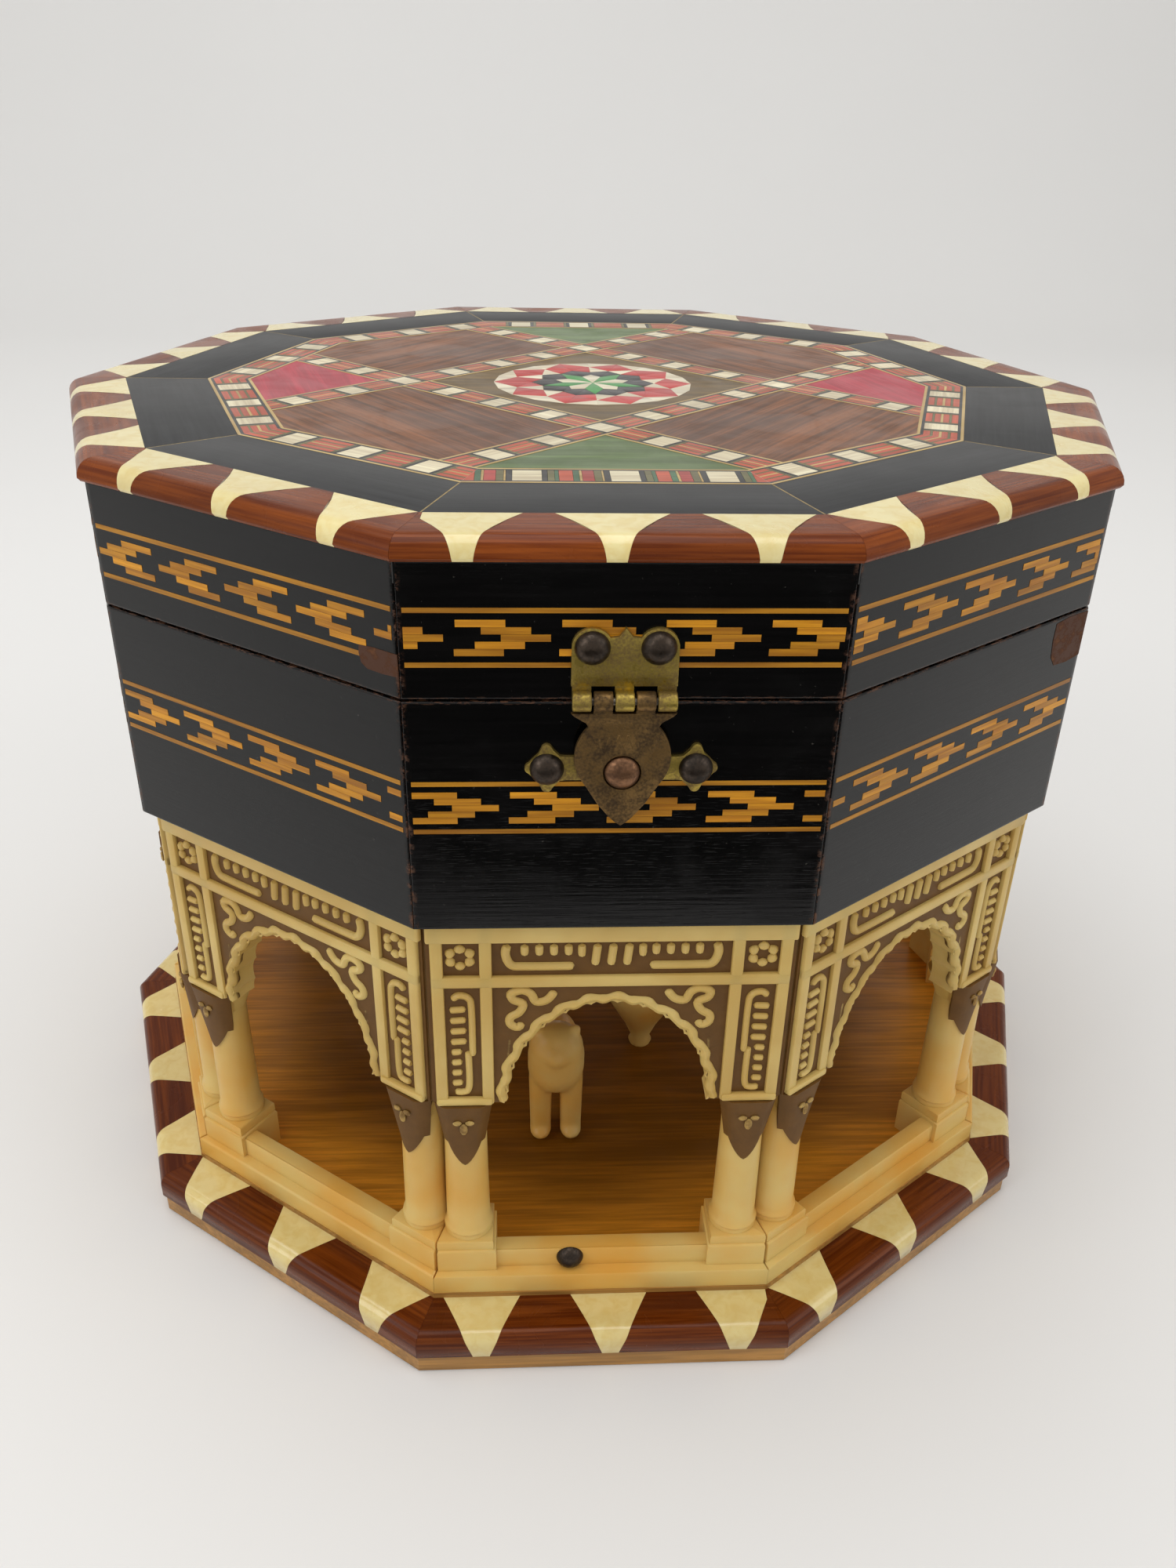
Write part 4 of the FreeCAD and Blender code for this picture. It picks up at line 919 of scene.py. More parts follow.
def build_veneers():
    """Figured veneers between the bandings, each kind with its own grain."""
    outline = decagon(RING - RING_WIDTH)
    (rf, lb), (rb, lf) = RISING, FALLING
    kinds = (
        ("brown", look().brown, (1.3, 0.4), {"turn": 0.95, "mirrored": True},
         ([beyond(rf), within(lf), within(rb)], [beyond(rb), within(rf), within(lb)],
          [beyond(lb), within(rb), within(lf)], [beyond(lf), within(lb), within(rf)])),
        ("green", look().green, (1.15, 0.6), {}, ([beyond(rf), beyond(lf)], [beyond(rb), beyond(lb)])),
        ("pink", look().pink, (1.1, 0.75), {"turn": 1.3},
         ([beyond(rf), beyond(rb)], [beyond(lf), beyond(lb)])),
        ("centre", linear("6E5526"), (1.2, 0.5), {}, ([within(a) for a in (rf, lb, rb, lf)],)),
    )
    for label, tint, (light, dark), place, cells in kinds:
        whole = Sheet()
        for planes in cells:
            cell = Sheet()
            cell.plate(outline, VENEER, LID_TOP - 0.05)
            cell.clip(planes)
            whole.take(cell)
        node = "lid_centre_veneer" if label == "centre" else f"lid_{label}_veneers"
        tones = shaded(tint, light), shaded(tint, dark)
        material = wood(label + " veneer", *tones, 0.34, 0.08, 0.3, **place)
        piece(whole, f"lid_{label}_cells", "lid", [node], [material])


# Rims


RIM_FALL = 0.12
RIM_LEAST = 0.28


def rim_profile(inner, outer, low, high, edge):
    """Closed section of a rim as (reach, height) points: a flat top that rolls over to a face."""
    shoulder = outer - edge
    points = [(inner, low), (inner, high)]
    points += [(inner + (shoulder - inner) * share, high - RIM_FALL * share) for share in (0.35, 0.7, 1.0)]
    for step in range(1, 7):
        angle = math.pi / 2 * (1 - step / 6)
        points.append((shoulder + edge * math.cos(angle), high - RIM_FALL - edge + edge * math.sin(angle)))
    return points + [(outer, low + 0.5), (outer - 0.4, low)]


def rim_sheets(inner, outer, low, high, edge, root, tip, pitch, bow, depth, age, shift):
    """Dark and pale pieces of one side, set off by a shift.

    The wedges narrow from root to tip on a line curved by bow; depth and age tone the two woods.
    """
    section = rim_profile(inner, outer, low, high, edge)
    loop = section + [section[0]]
    last = len(loop) - 1
    run = [0.0, 0.0]
    for first, second in zip(section[1:], section[2:]):
        run.append(run[-1] + math.dist(first, second))
    shares = [far / run[-1] for far in run] + [0.0]

    def half(index):
        return (tip + (root - tip) * (1 - shares[index]) ** bow) / 2

    def strip(sheet, left, right, tint, inset):
        def place(u, v):
            index = min(int(round(v * last)), last)
            reach, height = loop[index]
            limit = reach * TAN - inset
            a, b = max(-limit, left(index)), min(limit, right(index))
            if b - a < RIM_LEAST:
                a, b = (a, a + RIM_LEAST) if a < 0 else (b - RIM_LEAST, b)
            return Vector((a + (b - a) * u, -reach, height))
        sheet.cloth(5, last, place, tint)

    dark, pale = Sheet(), Sheet()
    ivory = [a * b for a, b in zip(look().bone, age)]
    centres = [shift - pitch, shift, shift + pitch]
    for centre in centres:
        strip(pale, lambda i, c=centre: c - half(i) + 0.02, lambda i, c=centre: c + half(i) - 0.02,
              shaded(ivory, random.uniform(0.93, 1.03)), 0.32)
    ends = [-99.0, *centres, 99.0]
    for left, right in zip(ends, ends[1:]):
        strip(dark, lambda i, c=left: c + half(i), lambda i, c=right: c - half(i),
              shaded(look().mahogany, depth * random.uniform(0.85, 1.1)), 0.02)
    return dark, pale


def build_rims():
    random.seed(3)
    dark_wood, bone = inlay("gloss mahogany", 0.2, 0.05, (0.42, 0.3, 0.2), 0.15), bone_finish()
    lid = (FIELD, RIM_REACH, RIM_FOOT, LID_TOP, 2.65, 15.0, 2.6, 19.1, 1.6, 1.0, (1, 1, 1))
    base = (COURT_REACH, BASE_REACH, *BASE_RIM, 2.2, 13.4, 2.6, 22.2, 1.2, 0.68, (0.92, 0.86, 0.74))
    for body, label, measures, front in (("lid", "lid_rim", lid, -1.5), ("box", "base_rim", base, 1.2)):
        darks, pales = Sheet(), Sheet()
        for side in range(SIDES):
            shift = front if side == 0 else random.uniform(-0.5, 0.5)
            for whole, part in zip((darks, pales), rim_sheets(*measures, shift)):
                whole.take(part, side * TURN)
        piece(darks, label + "_mahogany", body, [label + "_mouldings"], [dark_wood], angle=50)
        piece(pales, label + "_bone", body, [label + "_wedges"], [bone], angle=50)


# Arcade


PANEL = STEP_REACH - 2.2
GROUND = PANEL - 0.9
PANEL_BACK = PANEL - 5.5
CORNER_REACH = PANEL - 1.2
SPRING = FOOT + 41.5
ARCH_HALF, ARCH_RISE, LOBES = 16.0, 20.2, 25
COLUMN_X, COLUMN_REACH, COLUMN_R = 23.2, PANEL - 4.1, 3.75
PLINTH_TOP, PLINTH_HEAD = FOOT + 8.6, FOOT + 10.5
SIDE_FIELD = 22.9
RAIL, RAIL_X = 1.9, 19.1
SUNK, SOFFIT, SHADOW = 0.06, 0.85, 0.08
CURL = [(8.5, 13.4), (9.8, 15.2), (11.5, 15.5), (12.3, 14.0), (13.6, 13.3), (15.3, 13.9), (15.0, 15.1),
        (13.5, 15.9), (14.0, 17.5), (15.4, 18.5), (15.5, 19.8), (14.3, 20.5), (13.5, 19.5)]


def arch_point(angle, grow=0.0):
    return (ARCH_HALF + grow) * math.cos(angle), SPRING + (ARCH_RISE + grow) * math.sin(angle)


def arch_plate(sheet, half):
    """Ground of the panel round the arch, from the lobed opening out to the frame."""
    def inner(angle):
        return arch_point(angle, 0.55 * abs(math.sin(angle * LOBES / 2)) ** 0.7)

    def lip(angle):
        x, z = inner(angle)
        return x * 1.04, SPRING + (z - SPRING) * 1.04

    def outer(angle):
        x, z = math.cos(angle), math.sin(angle)
        reach = min(half / max(abs(x), 1e-6), (PANEL_HEAD - SPRING) / max(z, 1e-6))
        return x * reach, SPRING + z * reach

    section = [(inner, GROUND + 0.5), (lip, GROUND + 0.3), (outer, GROUND), (outer, PANEL_BACK),
               (inner, PANEL_BACK), (inner, GROUND + 0.5)]

    def place(u, v):
        line, reach = section[min(int(round(v * 5)), 5)]
        x, z = line(math.pi * u)
        return Vector((x, -reach, z))

    for vert in sheet.cloth(200, 5, place, relief=0.0):
        if not -GROUND - 0.4 < vert.co.y < -PANEL_BACK - 0.1:
            vert[sheet.relief] = SOFFIT


def rails(sheet, edge):
    """Raised frame of the panel; below the top rail a sunk strip is left at each corner."""
    depth = size("relief") + 0.5
    y = 0.25 - (GROUND + PANEL) / 2
    stile, start = edge - 0.6, 18.4
    for z, height, half in ((PANEL_HEAD - 2.1, 4.2, edge), (PANEL_HEAD - 11.5, 2.0, stile)):
        sheet.block((0, y, z), (2 * half, depth, height), bevel=0.35)
    tall, middle = PANEL_HEAD - SPRING - 0.1, (SPRING + PANEL_HEAD) / 2
    for sign in (-1, 1):
        for x in (stile - RAIL / 2, RAIL_X):
            sheet.block((sign * x, y + 0.05, middle), (RAIL, depth, tall), bevel=0.35)
        centre = (sign * (start + stile) / 2, y - 0.3, SPRING + 0.7)
        sheet.block(centre, (stile - start, depth, 1.3), bevel=0.4)


def frieze(sheet):
    """Reeded frieze: a row of upright bars between two hook-ended bars."""
    foot, head = PANEL_HEAD - 8.8, PANEL_HEAD - 4.7
    hook = [(15.7, head), (16.1, head - 1.8), (15.3, foot + 0.3), (13.0, foot), (5.6, foot)]
    for sign in (-1, 1):
        sheet.bar(GROUND, flip(hook, sign), 1.5, 0.85, steps=5)
        for x in (sign * (6.6 + step * 2.2) for step in range(4)):
            sheet.bar(GROUND, [(x, foot + 1.9), (x, head)], 1.35, 0.8)
    for x in (-2.4, 0.0, 2.4):
        sheet.bar(GROUND, [(x - 0.2, foot), (x + 0.2, head)], 1.4, 0.85)
    for x in (-4.6, 4.6):
        sheet.bar(GROUND, [(x, foot + 1.6), (x, head)], 1.3, 0.8)


def rosette(sheet, x, z):
    """Six petals round a sunk eye."""
    for petal in range(6):
        angle = (petal + 0.5) * math.tau / 6
        c, s = math.cos(angle), math.sin(angle)
        sheet.bar(GROUND, [(x + 0.85 * c, z + 0.75 * s), (x + 2.6 * c, z + 2.4 * s)], 1.75, 0.78,
                  swell=lambda u: 1.12 - 0.5 * abs(u - 0.35))


def cartouche(sheet, sign):
    """Upright side field: two hooked bars with short cross bars."""
    head, foot, x = SPRING + 21.8, SPRING + 2.4, SIDE_FIELD
    upper = [(x + 1.5, head - 0.9), (x + 0.4, head), (x - 1.1, head - 0.6), (x - 1.5, head - 3),
             (x - 1.5, head - 12.0)]
    lower = [(x - 0.8, head - 11.0), (x - 0.8, foot + 1.2), (x + 0.2, foot), (x + 1.6, foot + 0.2)]
    for hook in (upper, lower):
        sheet.bar(GROUND, flip(hook, sign), 1.2, 0.8, steps=5)
    for step in range(8):
        z = head - 2.8 - step * 2.1
        end = x - 0.75 if step < 4 else x + 0.05
        sheet.bar(GROUND, flip([(x + 2.0, z - 0.1), (end, z + 0.1)], sign), 1.2, 0.7)


def scroll(sheet, sign):
    """Spandrel scroll of two linked curls, with a faint line below."""
    curl = [(x, PANEL_HEAD - drop) for x, drop in CURL]
    line = [(15.6, SPRING + 13.2), (15.9, SPRING + 9.5), (16.2, SPRING + 6.0)]
    sheet.bar(GROUND, flip(curl, sign), 1.6, 0.85, steps=5)
    sheet.bar(GROUND, flip(line, sign), 0.7, 0.35, relief=0.35, steps=5)


def archivolt(sheet):
    """Raised wavy band round the arch."""
    count = 150
    path = []
    for share in (step / count for step in range(count + 1)):
        wave = 0.28 * math.cos(math.pi * share * LOBES)
        path.append(arch_point(math.pi * share, 1.0 + wave))
    sheet.bar(GROUND - 0.2, path, 1.8, 1.15, steps=1,
              swell=lambda u: 1 + 0.10 * math.cos(math.tau * u * LOBES))


def column(sheet, sign):
    """Column with a draped capital, a torus and a stepped plinth."""
    x, y = sign * COLUMN_X, -COLUMN_REACH
    foot, r = PLINTH_HEAD, COLUMN_R
    profile = [(0.0, foot - 0.5), (r + 0.35, foot - 0.5), (r + 0.45, foot + 0.3), (r + 0.2, foot + 0.8),
               (r + 0.5, foot + 1.2), (r + 0.35, foot + 1.8), (r, foot + 2.2), (r - 0.05, foot + 8),
               (r - 0.15, foot + 16), (r - 0.2, SPRING - 9), (r - 0.2, SPRING), (0.0, SPRING)]
    sheet.turned(profile, (x, y, 0))
    drape(sheet, x, y)
    back = COLUMN_REACH - r - 0.5
    limit, narrow = PANEL * TAN - 0.05, back * TAN - 0.05
    for low, high, grow in ((FOOT, PLINTH_TOP, 0.0), (PLINTH_TOP, PLINTH_HEAD, -0.45)):
        front, inner = -PANEL - 0.9 - grow, COLUMN_X - 4.8 - grow
        corners = [(inner, front), (limit, front), (limit, -PANEL), (narrow, -back), (inner, -back)]
        sheet.plate(flip(corners, sign)[::sign], low, high, bevel=0.4)


def drape(sheet, x, y):
    """Capital: a brown point hung over the front of the column, with a small leaf of three parts."""
    made = bmesh.ops.create_cone(sheet.bm, cap_ends=True, segments=48, radius1=1, radius2=1,
                                 depth=1)["verts"]
    fronts = []
    for vert in made:
        angle = math.atan2(vert.co.y, vert.co.x)
        away = abs((angle + 1.5 * math.pi) % math.tau - math.pi)
        front = away < 1.1
        if front:
            fronts.append(vert)
        if vert.co.z > 0:
            square = 1 / max(abs(math.cos(angle)), abs(math.sin(angle)))
            reach, level = min(4.75 * square, 5.6), SPRING
        elif front:
            corner = min(1.0, away / (math.pi / 4))
            reach, level = COLUMN_R + 0.12, SPRING - 12.4 * (1 - 0.34 * corner ** 1.4) - 1.0
        else:
            reach, level = COLUMN_R - 0.4, SPRING - 6.0
        vert.co = Vector((x + reach * math.cos(angle), y + reach * math.sin(angle), level))
    sheet.settle(made, relief=SOFFIT)
    for vert in fronts:
        vert[sheet.relief] = SHADOW
    for dx, dz, wide, tall in ((0, -0.4, 1.3, 2.4), (-1.0, 0.9, 1.5, 0.9), (1.0, 0.9, 1.5, 0.9)):
        spot = Matrix.Translation((x + dx, y - 4.7, SPRING - 4.2 + dz))
        spot @= Matrix.Diagonal((wide, 0.7, tall, 1))
        leaf = bmesh.ops.create_uvsphere(sheet.bm, u_segments=8, v_segments=6, radius=0.5, matrix=spot)
        sheet.mark(leaf["verts"], relief=0.4)


def sill(sheet):
    """Stepped sill between the plinths."""
    for low, high, reach in ((FOOT, FOOT + 3.9, STEP_REACH), (FOOT + 3.9, FOOT + 8.0, PANEL + 0.1)):
        sheet.plate(trapezium(reach, PANEL - 3.0, 0.03), low, high, bevel=0.45)


def arcade_sheet():
    """One moulded arcade panel on the front side."""
    sheet = Sheet()
    edge = PANEL * TAN - 0.6
    arch_plate(sheet, edge)
    outer, inner = CORNER_REACH * TAN - 0.02, PANEL_BACK * TAN - 0.02
    corner = [(inner - 1, -CORNER_REACH), (outer, -CORNER_REACH), (inner, -PANEL_BACK),
              (inner - 1, -PANEL_BACK)]
    for sign in (-1, 1):
        sheet.plate(flip(corner, sign)[::sign], SPRING, PANEL_HEAD - 0.3, relief=SUNK)
    rails(sheet, edge)
    frieze(sheet)
    for sign in (-1, 1):
        rosette(sheet, sign * SIDE_FIELD, PANEL_HEAD - 7.1)
        cartouche(sheet, sign)
        scroll(sheet, sign)
        column(sheet, sign)
    archivolt(sheet)
    sill(sheet)
    return sheet


def build_arcade():
    """Ten panels from one front panel; the wash differs because it follows the place."""
    random.seed(7)
    material = moulding()
    front = bpy.data.meshes.new("front panel")
    first = arcade_sheet()
    first.bm.to_mesh(front)
    first.bm.free()
    for side in range(SIDES):
        number = f"{side + 1:02d}"
        sheet = Sheet()
        sheet.bm.from_mesh(front)
        piece(sheet, "arcade_front_" + number, "box", ["arcade_panel_" + number],
              [material], side, 45)
    bpy.data.meshes.remove(front)


# Hasp and nails


GAUGE = 0.7
HASP_HALF, LEAVES, LEAF_GAP = 7.0, 5, 0.15
KNUCKLE, BORE, ROLL = 1.35, 0.62, 0.12
PLATE_NAIL = (4.3, HASP_PIN + 7.1)
STUD_Z = HASP_PIN - 10.5
EAR_X = 10.1
HOLE = 2.55
STUD = [(0, 3.0), (1.0, 2.9), (1.8, 2.55), (2.3, 2.1), (2.45, 1.6), (2.45, 0), (0, 0)]
NAIL = [(0, 1.7), (0.75, 1.62), (1.45, 1.3), (2.0, 0.8), (2.3, 0.25), (2.35, 0), (0, 0)]


def extruded(sheet, outline, reach, holes=(), bevel=0.15):
    """Sheet-metal plate on the front: outline points (x, z), back face at the given reach."""
    verts, edges = [], []
    for ring in (outline, *holes):
        spots = [sheet.bm.verts.new((x, -reach, z)) for x, z in ring]
        edges += [sheet.bm.edges.new((spots[i - 1], spots[i])) for i in range(len(spots))]
        verts += spots
    filled = bmesh.ops.triangle_fill(sheet.bm, use_beauty=True, use_dissolve=True, edges=edges)["geom"]
    top, _ = sheet.thicken(of_kind(filled, bmesh.types.BMFace), (0, -GAUGE, 0))
    sheet.outward([v for v in verts + top if v.is_valid])
    tops = set(top)
    rim = [e for e in edges_of(top) if tops.issuperset(e.verts) and e.calc_face_angle(0) > 0.5]
    bevel_edges(sheet.bm, rim, bevel)


def arc(x, z, radius, start, end, count=10):
    """Points along an arc between two angles in degrees."""
    angles = [math.radians(start + (end - start) * i / count) for i in range(count + 1)]
    return [(x + radius * math.cos(a), z + radius * math.sin(a)) for a in angles]


def both_halves(points, tip=()):
    """Outline from the points of its right half, a tip in the middle and their mirror image."""
    return [*points, *tip, *flip(reversed(points), -1)]


def comb(sheet, first, reach, z, height):
    """Every second knuckle of the hasp hinge, each rolled from a tongue of its plate."""
    pitch = 2 * HASP_HALF / LEAVES
    long = pitch - 2 * LEAF_GAP
    starts = [i * pitch - HASP_HALF + LEAF_GAP for i in range(first, LEAVES, 2)]
    for x in starts:
        sheet.block((x + long / 2, -reach, HASP_PIN + z), (long, GAUGE, height))
    profile = [(BORE, 0), (KNUCKLE - ROLL, 0), (KNUCKLE, ROLL), (KNUCKLE, long - ROLL),
               (KNUCKLE - ROLL, long), (BORE, long), (BORE, 0)]
    for x in starts:
        sheet.turned(profile, (x, -HASP_AXIS, HASP_PIN), 24, axis="X")


def build_hasp():
    random.seed(2)
    brass = metal("aged brass", look().brass, linear("7A6438"))
    flap_brass = metal("browned brass", linear("8A6D44"), linear("44331E"), 0.5)
    z = HASP_PIN
    plate = Sheet()
    crown = [(HASP_HALF, z + 1.65), *arc(*PLATE_NAIL, 2.7, -5, 150, 12), (0.9, z + 8.6)]
    extruded(plate, both_halves(crown, [(0, z + 9.8)]), WALL)
    comb(plate, 0, WALL + GAUGE / 2, 0.9, 1.7)
    piece(plate, "hasp_upper_plate", "lid", ["hasp_plate"], [brass])

    flap = Sheet()
    heart = [(HASP_HALF, z - 1.65), (6.6, z - 2.1), (5.0, z - 3.1)] + arc(0, z - 8.2, 6.5, 44, -38, 14)
    heart += [(3.2, z - 15.4), (1.6, z - 17.4), (0.9, z - 18.1)]
    hole = arc(0, STUD_Z, HOLE, 0, 360, 28)[:-1]
    extruded(flap, both_halves(heart, [(0, z - 18.8)]), HASP_AXIS - GAUGE / 2, [hole], 0.18)
    comb(flap, 1, HASP_AXIS, -0.95, 1.5)
    for x in (-3.2 + step * 1.28 for step in range(6)):
        head, foot = z - 4.6 - 0.25 * abs(x), z - 6.6 - 0.25 * abs(x)
        flap.bar(HASP_AXIS + GAUGE / 2, [(x, head), (x + 0.64, foot), (x + 1.28, head)], 0.3, 0.07,
                 steps=2, around=6)
    piece(flap, "hasp_heart_flap", "hasp", ["hasp_flap"], [flap_brass])

    catch = Sheet()
    ear = [(7.5, z - 12.3), (8.3, z - 12.4), (9.1, z - 13.2)] + arc(EAR_X, z - 13.4, 0.75, 200, 340, 8)
    ear += [(11.2, z - 12.7), (12.0, z - 11.9)] + arc(12.3, STUD_Z, 0.8, -70, 70, 8)
    ear += [(12.0, z - 9.1), (11.2, z - 8.3)] + arc(EAR_X, z - 7.6, 0.75, 20, 160, 8)
    ear += [(9.1, z - 7.8), (8.3, z - 8.6), (7.5, z - 8.7)]
    extruded(catch, both_halves(ear), WALL)
    copper = metal("copper stud", linear("906A4E"), linear("5A3E2A"), 0.36)
    for face in faces_of(catch.turned(STUD, (0, -WALL, STUD_Z), axis="Y")):
        face.material_index = 1
    piece(catch, "catch_ears", "box", ["catch_plate"], [brass, copper])

    steel = metal("dark nail", linear("4A4038"), linear("2A231D"), 0.36)
    lid_nails, box_nails = Sheet(), Sheet()
    for sign in (-1, 1):
        lid_nails.turned(NAIL, (sign * PLATE_NAIL[0], -WALL - GAUGE, PLATE_NAIL[1]), axis="Y")
        box_nails.turned(NAIL, (sign * EAR_X, -WALL - GAUGE, STUD_Z), axis="Y")
    box_nails.turned(NAIL, (-5.6, -PANEL - 0.1, FOOT + 6.0), axis="Y")
    piece(lid_nails, "lid_domed_nails", "lid", ["lid_nails"], [steel])
    piece(box_nails, "box_domed_nails", "box", ["box_nails"], [steel])
    dress(["hasp_pin", "hinge_pins"], metal("steel wire", linear("8A8378"), linear("5A5148"), 0.4))
    dress(["hinge_box_leaves", "hinge_lid_leaves"], brass)


# Boards, court and lining


def build_boards():
    edge = linear("B4823E")
    dress(["base_board", "box_floor"], wood("base wood", shaded(edge, 1.1), shaded(edge, 0.6), 0.42, 0.2))
    board = Sheet()
    board.plate(decagon(PANEL - 2.9), *span("court_floor", 2))
    piece(board, "court_boards", "box", ["court_floor"], [court_wood()])
    dress(["lid_top_board"], board_lacquer())
    dress(["box_lining", "lid_lining"], felt())


FIGURE_RELIEF = 0.57
LION_FORMS = [(9, 16.0, (5.0, 9.2, 4.8)), (1.5, 17.6, (5.6, 5.0, 6.4)), (1.2, 20.0, (5.6, 4.9, 6.0)),
              (0.8, 22.4, (5.3, 4.6, 5.2)), (-2.6, 22.6, (2.6, 2.0, 2.4))]
BOWL = [(0, 0), (2.2, 0), (2.5, 0.8), (1.9, 1.8), (3.6, 6), (6.6, 11.5), (8.6, 15.6), (8.95, 17.6),
        (8.5, 18.0), (7.9, 17.6), (6.0, 13.6), (3.0, 11.6), (0, 11.0)]


def figure(name, sheet, node, voxel):
    """Smooth moulded figure from overlapping rounded forms."""
    item = piece(sheet, name, "box", [node], [moulding()], angle=80)
    remesh = item.modifiers.new("skin", "REMESH")
    remesh.mode = "VOXEL"
    remesh.voxel_size = voxel * MM
    item.modifiers.new("soften", "SMOOTH").iterations = 14
    graph = bpy.context.evaluated_depsgraph_get()
    mesh = bpy.data.meshes.new_from_object(item.evaluated_get(graph))
    item.modifiers.clear()
    item.data = mesh
    mesh.shade_smooth()
    level = mesh.attributes.new("relief", "FLOAT", "POINT")
    level.data.foreach_set("value", [FIGURE_RELIEF] * len(mesh.vertices))


def blob(sheet, centre, dims):
    matrix = Matrix.Translation(centre) @ Matrix.Diagonal((*dims, 1))
    bmesh.ops.create_uvsphere(sheet.bm, u_segments=20, v_segments=14, radius=1, matrix=matrix)


def build_figures():
    low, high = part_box("court_lion")
    x, floor = (low.x + high.x) / 2 / MM, low.z / MM
    front = low.y / MM + 5.6
    lion = Sheet()
    for y, z, dims in LION_FORMS:
        blob(lion, (x, front + y, floor + z), dims)
    for sign in (-1, 1):
        blob(lion, (x + sign * 3.6, front + 0.7, floor + 26.4), (1.3, 0.9, 1.4))
        for y in (front + 1.4, front + 14.6):
            leg = Matrix.Translation((x + sign * 3.0, y, floor + 7.5))
            bmesh.ops.create_cone(lion.bm, cap_ends=True, segments=20, radius1=2.1, radius2=2.4, depth=15,
                                  matrix=leg)
            blob(lion, (x + sign * 3.0, y - 0.9, floor + 1.4), (2.2, 2.9, 1.4))
    figure("court_lion_figure", lion, "court_lion", 0.45)
    low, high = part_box("court_fountain")
    x, y = (low.x + high.x) / 2 / MM, (low.y + high.y) / 2 / MM
    bowl = Sheet()
    bowl.turned([(r, h + floor) for r, h in BOWL], (x, y, 0), 36, FIGURE_RELIEF)
    piece(bowl, "court_fountain_bowl", "box", ["court_fountain"], [moulding()], angle=60)


# Stage, in metres


SWEEP_HALF, SWEEP_FRONT, SWEEP_BACK, SWEEP_BEND, SWEEP_TOP = 2.4, -1.6, 0.9, 0.5, 2.4
SOFTBOXES = (("softbox_top", (-0.15, 0.05, 1.3), (0, 0.1, 0.1), 7.2, 1.2, 1.0),
             ("softbox_left", (-0.95, -0.55, 0.75), (0, 0, 0.08), 3.2, 0.6, 0.8),
             ("softbox_right", (0.95, -0.45, 0.7), (0, 0, 0.08), 2.0, 0.6, 0.8))
CAMERA_PLACE = (-0.01325, -0.2393, 0.1950)
CAMERA_RIGHT, CAMERA_UP = Vector((0.99867, -0.04757, 0.02027)), Vector((0.0055, 0.4875, 0.87307))
CAMERA_LENS, CAMERA_SENSOR = 28.82, 36.0


def lay_floor():
    """Paper sweep: a pale floor that bends up behind the box."""
    sheet = bmesh.new()
    bend = [math.pi / 2 * i / 12 for i in range(13)]
    profile = [(SWEEP_FRONT, 0.0)]
    profile += [(SWEEP_BACK + SWEEP_BEND * math.sin(a), SWEEP_BEND * (1 - math.cos(a))) for a in bend]
    profile += [(SWEEP_BACK + SWEEP_BEND, SWEEP_TOP)]
    line = [sheet.verts.new((-SWEEP_HALF, y, z - 0.0002)) for y, z in profile]
    edges = [sheet.edges.new(pair) for pair in zip(line, line[1:])]
    made = of_kind(bmesh.ops.extrude_edge_only(sheet, edges=edges)["geom"], bmesh.types.BMVert)
    bmesh.ops.translate(sheet, verts=made, vec=(2 * SWEEP_HALF, 0, 0))
    bmesh.ops.recalc_face_normals(sheet, faces=sheet.faces[:])
    if sheet.faces[0].normal.z < 0:
        bmesh.ops.reverse_faces(sheet, faces=sheet.faces[:])
    mesh = bpy.data.meshes.new("floor")
    sheet.to_mesh(mesh)
    sheet.free()
    mesh.shade_smooth()
    floor = new_object("floor", mesh)
    material, tree, shader = new_material("paper sweep")
    cloud = noise(tree, add(tree, "TexCoord").outputs["Object"], 3.0, 3.0)
    paper = mix(tree, cloud, (0.79, 0.785, 0.775), (0.83, 0.825, 0.815))
    feed(tree, shader, {"Base Color": paper, "Roughness": 0.8})
    mesh.materials.append(material)


def lay_card():
    """Dark card in front of the box that only reflections see."""
    card = bmesh.new()
    spot = Matrix.Translation((0, -0.72, 0.002))
    bmesh.ops.create_grid(card, x_segments=1, y_segments=1, size=0.5, matrix=spot)
    mesh = bpy.data.meshes.new("dark_card")
    card.to_mesh(mesh)
    card.free()
    flag = new_object("dark_card", mesh)
    material, tree, shader = new_material("black card")
    feed(tree, shader, {"Base Color": (0.01, 0.01, 0.01)})
    mesh.materials.append(material)
    flag.visible_camera = flag.visible_diffuse = flag.visible_shadow = False


def set_lights():
    for name, place, aim, power, wide, tall in SOFTBOXES:
        lamp = bpy.data.lights.new(name, "AREA")
        lamp.shape = "RECTANGLE"
        lamp.size, lamp.size_y, lamp.energy = wide, tall, power
        item = new_object(name, lamp)
        item.location = place
        item.rotation_euler = (Vector(aim) - Vector(place)).to_track_quat("-Z", "Y").to_euler()
    world = bpy.data.worlds.new("soft room")
    world.use_nodes = True
    tree = world.node_tree
    feed(tree, tree.nodes["Background"], {"Color": (1.0, 0.985, 0.96), "Strength": 0.6})
    bpy.context.scene.world = world


def set_camera():
    lens = bpy.data.cameras.new("camera")
    lens.sensor_fit = "VERTICAL"
    lens.sensor_height, lens.lens = CAMERA_SENSOR, CAMERA_LENS
    lens.clip_start = 0.01
    camera = new_object("camera", lens)
    back = CAMERA_RIGHT.cross(CAMERA_UP).normalized()
    up = back.cross(CAMERA_RIGHT).normalized()
    turn = Matrix((CAMERA_RIGHT.normalized(), up, back)).transposed().to_4x4()
    camera.matrix_world = Matrix.Translation(CAMERA_PLACE) @ turn
    bpy.context.scene.camera = camera


def build_stage():
    bpy.context.scene.view_settings.view_transform = "Standard"
    lay_floor()
    lay_card()
    set_lights()
    set_camera()


# Operators and panel


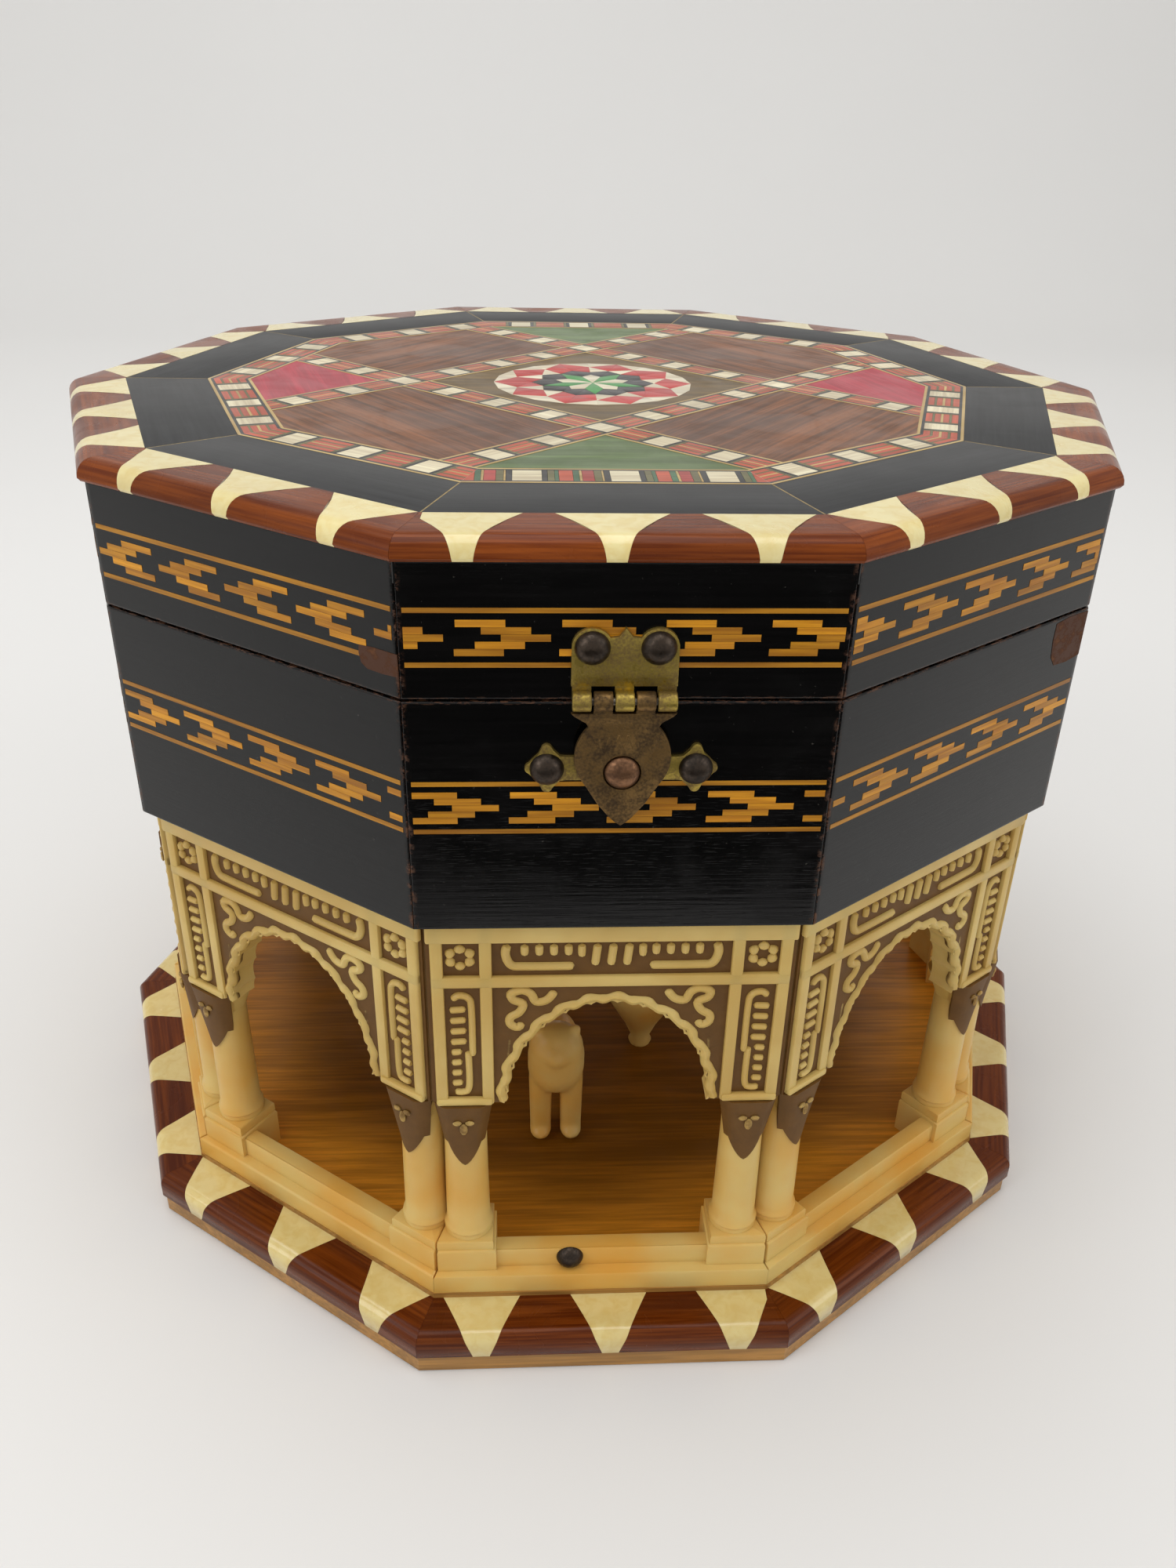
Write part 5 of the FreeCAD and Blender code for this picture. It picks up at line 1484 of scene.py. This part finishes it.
class INLAIDBOX_OT_walls(bpy.types.Operator):
    """Build the staves of lid and box"""
    bl_idname = "inlaidbox.walls"
    bl_label = "Lacquered walls"
    bl_options = {"REGISTER", "UNDO"}

    def execute(self, context):
        build_walls()
        return {"FINISHED"}


class INLAIDBOX_OT_bands(bpy.types.Operator):
    """Inlay the stepped bands"""
    bl_idname = "inlaidbox.bands"
    bl_label = "Wall marquetry"
    bl_options = {"REGISTER", "UNDO"}

    def execute(self, context):
        build_bands()
        return {"FINISHED"}


class INLAIDBOX_OT_lid_top(bpy.types.Operator):
    """Build border, bandings and star of the lid"""
    bl_idname = "inlaidbox.lid_top"
    bl_label = "Lid bandings"
    bl_options = {"REGISTER", "UNDO"}

    def execute(self, context):
        build_lid_top()
        return {"FINISHED"}


class INLAIDBOX_OT_veneers(bpy.types.Operator):
    """Give the veneers of the lid their grain"""
    bl_idname = "inlaidbox.veneers"
    bl_label = "Lid veneers"
    bl_options = {"REGISTER", "UNDO"}

    def execute(self, context):
        build_veneers()
        return {"FINISHED"}


class INLAIDBOX_OT_rims(bpy.types.Operator):
    """Build the mahogany and bone rims"""
    bl_idname = "inlaidbox.rims"
    bl_label = "Rims"
    bl_options = {"REGISTER", "UNDO"}

    def execute(self, context):
        build_rims()
        return {"FINISHED"}


class INLAIDBOX_OT_arcade(bpy.types.Operator):
    """Build the moulded arcade panels"""
    bl_idname = "inlaidbox.arcade"
    bl_label = "Arcade"
    bl_options = {"REGISTER", "UNDO"}

    def execute(self, context):
        build_arcade()
        return {"FINISHED"}


class INLAIDBOX_OT_hasp(bpy.types.Operator):
    """Build the hasp, the catch and the nails"""
    bl_idname = "inlaidbox.hasp"
    bl_label = "Hasp and nails"
    bl_options = {"REGISTER", "UNDO"}

    def execute(self, context):
        build_hasp()
        return {"FINISHED"}


class INLAIDBOX_OT_boards(bpy.types.Operator):
    """Finish boards, court floor and felt"""
    bl_idname = "inlaidbox.boards"
    bl_label = "Boards and lining"
    bl_options = {"REGISTER", "UNDO"}

    def execute(self, context):
        build_boards()
        return {"FINISHED"}


class INLAIDBOX_OT_figures(bpy.types.Operator):
    """Build lion and fountain"""
    bl_idname = "inlaidbox.figures"
    bl_label = "Court figures"
    bl_options = {"REGISTER", "UNDO"}

    def execute(self, context):
        build_figures()
        return {"FINISHED"}


class INLAIDBOX_OT_stage(bpy.types.Operator):
    """Lay the floor and set lights and camera"""
    bl_idname = "inlaidbox.stage"
    bl_label = "Stage"
    bl_options = {"REGISTER", "UNDO"}

    def execute(self, context):
        build_stage()
        return {"FINISHED"}


OPERATORS = [INLAIDBOX_OT_walls, INLAIDBOX_OT_bands, INLAIDBOX_OT_lid_top, INLAIDBOX_OT_veneers,
             INLAIDBOX_OT_rims, INLAIDBOX_OT_arcade, INLAIDBOX_OT_hasp, INLAIDBOX_OT_boards,
             INLAIDBOX_OT_figures, INLAIDBOX_OT_stage]


class INLAIDBOX_PT_sidebar(bpy.types.Panel):
    """Sidebar panel with the sizes, the colours and the building steps."""
    bl_idname = "INLAIDBOX_PT_sidebar"
    bl_label = "Inlaid box"
    bl_space_type = "VIEW_3D"
    bl_region_type = "UI"
    bl_category = "Inlaid box"

    def draw(self, context):
        for group in (context.scene.inlaid_box_sizes, context.scene.inlaid_box_colours):
            fields = self.layout.column(align=True)
            for key in group.__annotations__:
                fields.prop(group, key)
        for step in OPERATORS:
            self.layout.operator(step.bl_idname)


CLASSES = [InlaidBoxColours, InlaidBoxSizes, *OPERATORS, INLAIDBOX_PT_sidebar]


def register():
    for item in CLASSES:
        bpy.utils.register_class(item)
    bpy.types.Scene.inlaid_box_colours = bpy.props.PointerProperty(type=InlaidBoxColours)
    bpy.types.Scene.inlaid_box_sizes = bpy.props.PointerProperty(type=InlaidBoxSizes)


def unregister():
    del bpy.types.Scene.inlaid_box_sizes
    del bpy.types.Scene.inlaid_box_colours
    for item in reversed(CLASSES):
        bpy.utils.unregister_class(item)


def main():
    register()
    for step in OPERATORS:
        getattr(bpy.ops.inlaidbox, step.bl_idname.split(".")[1])()


if __name__ == "__main__":
    main()
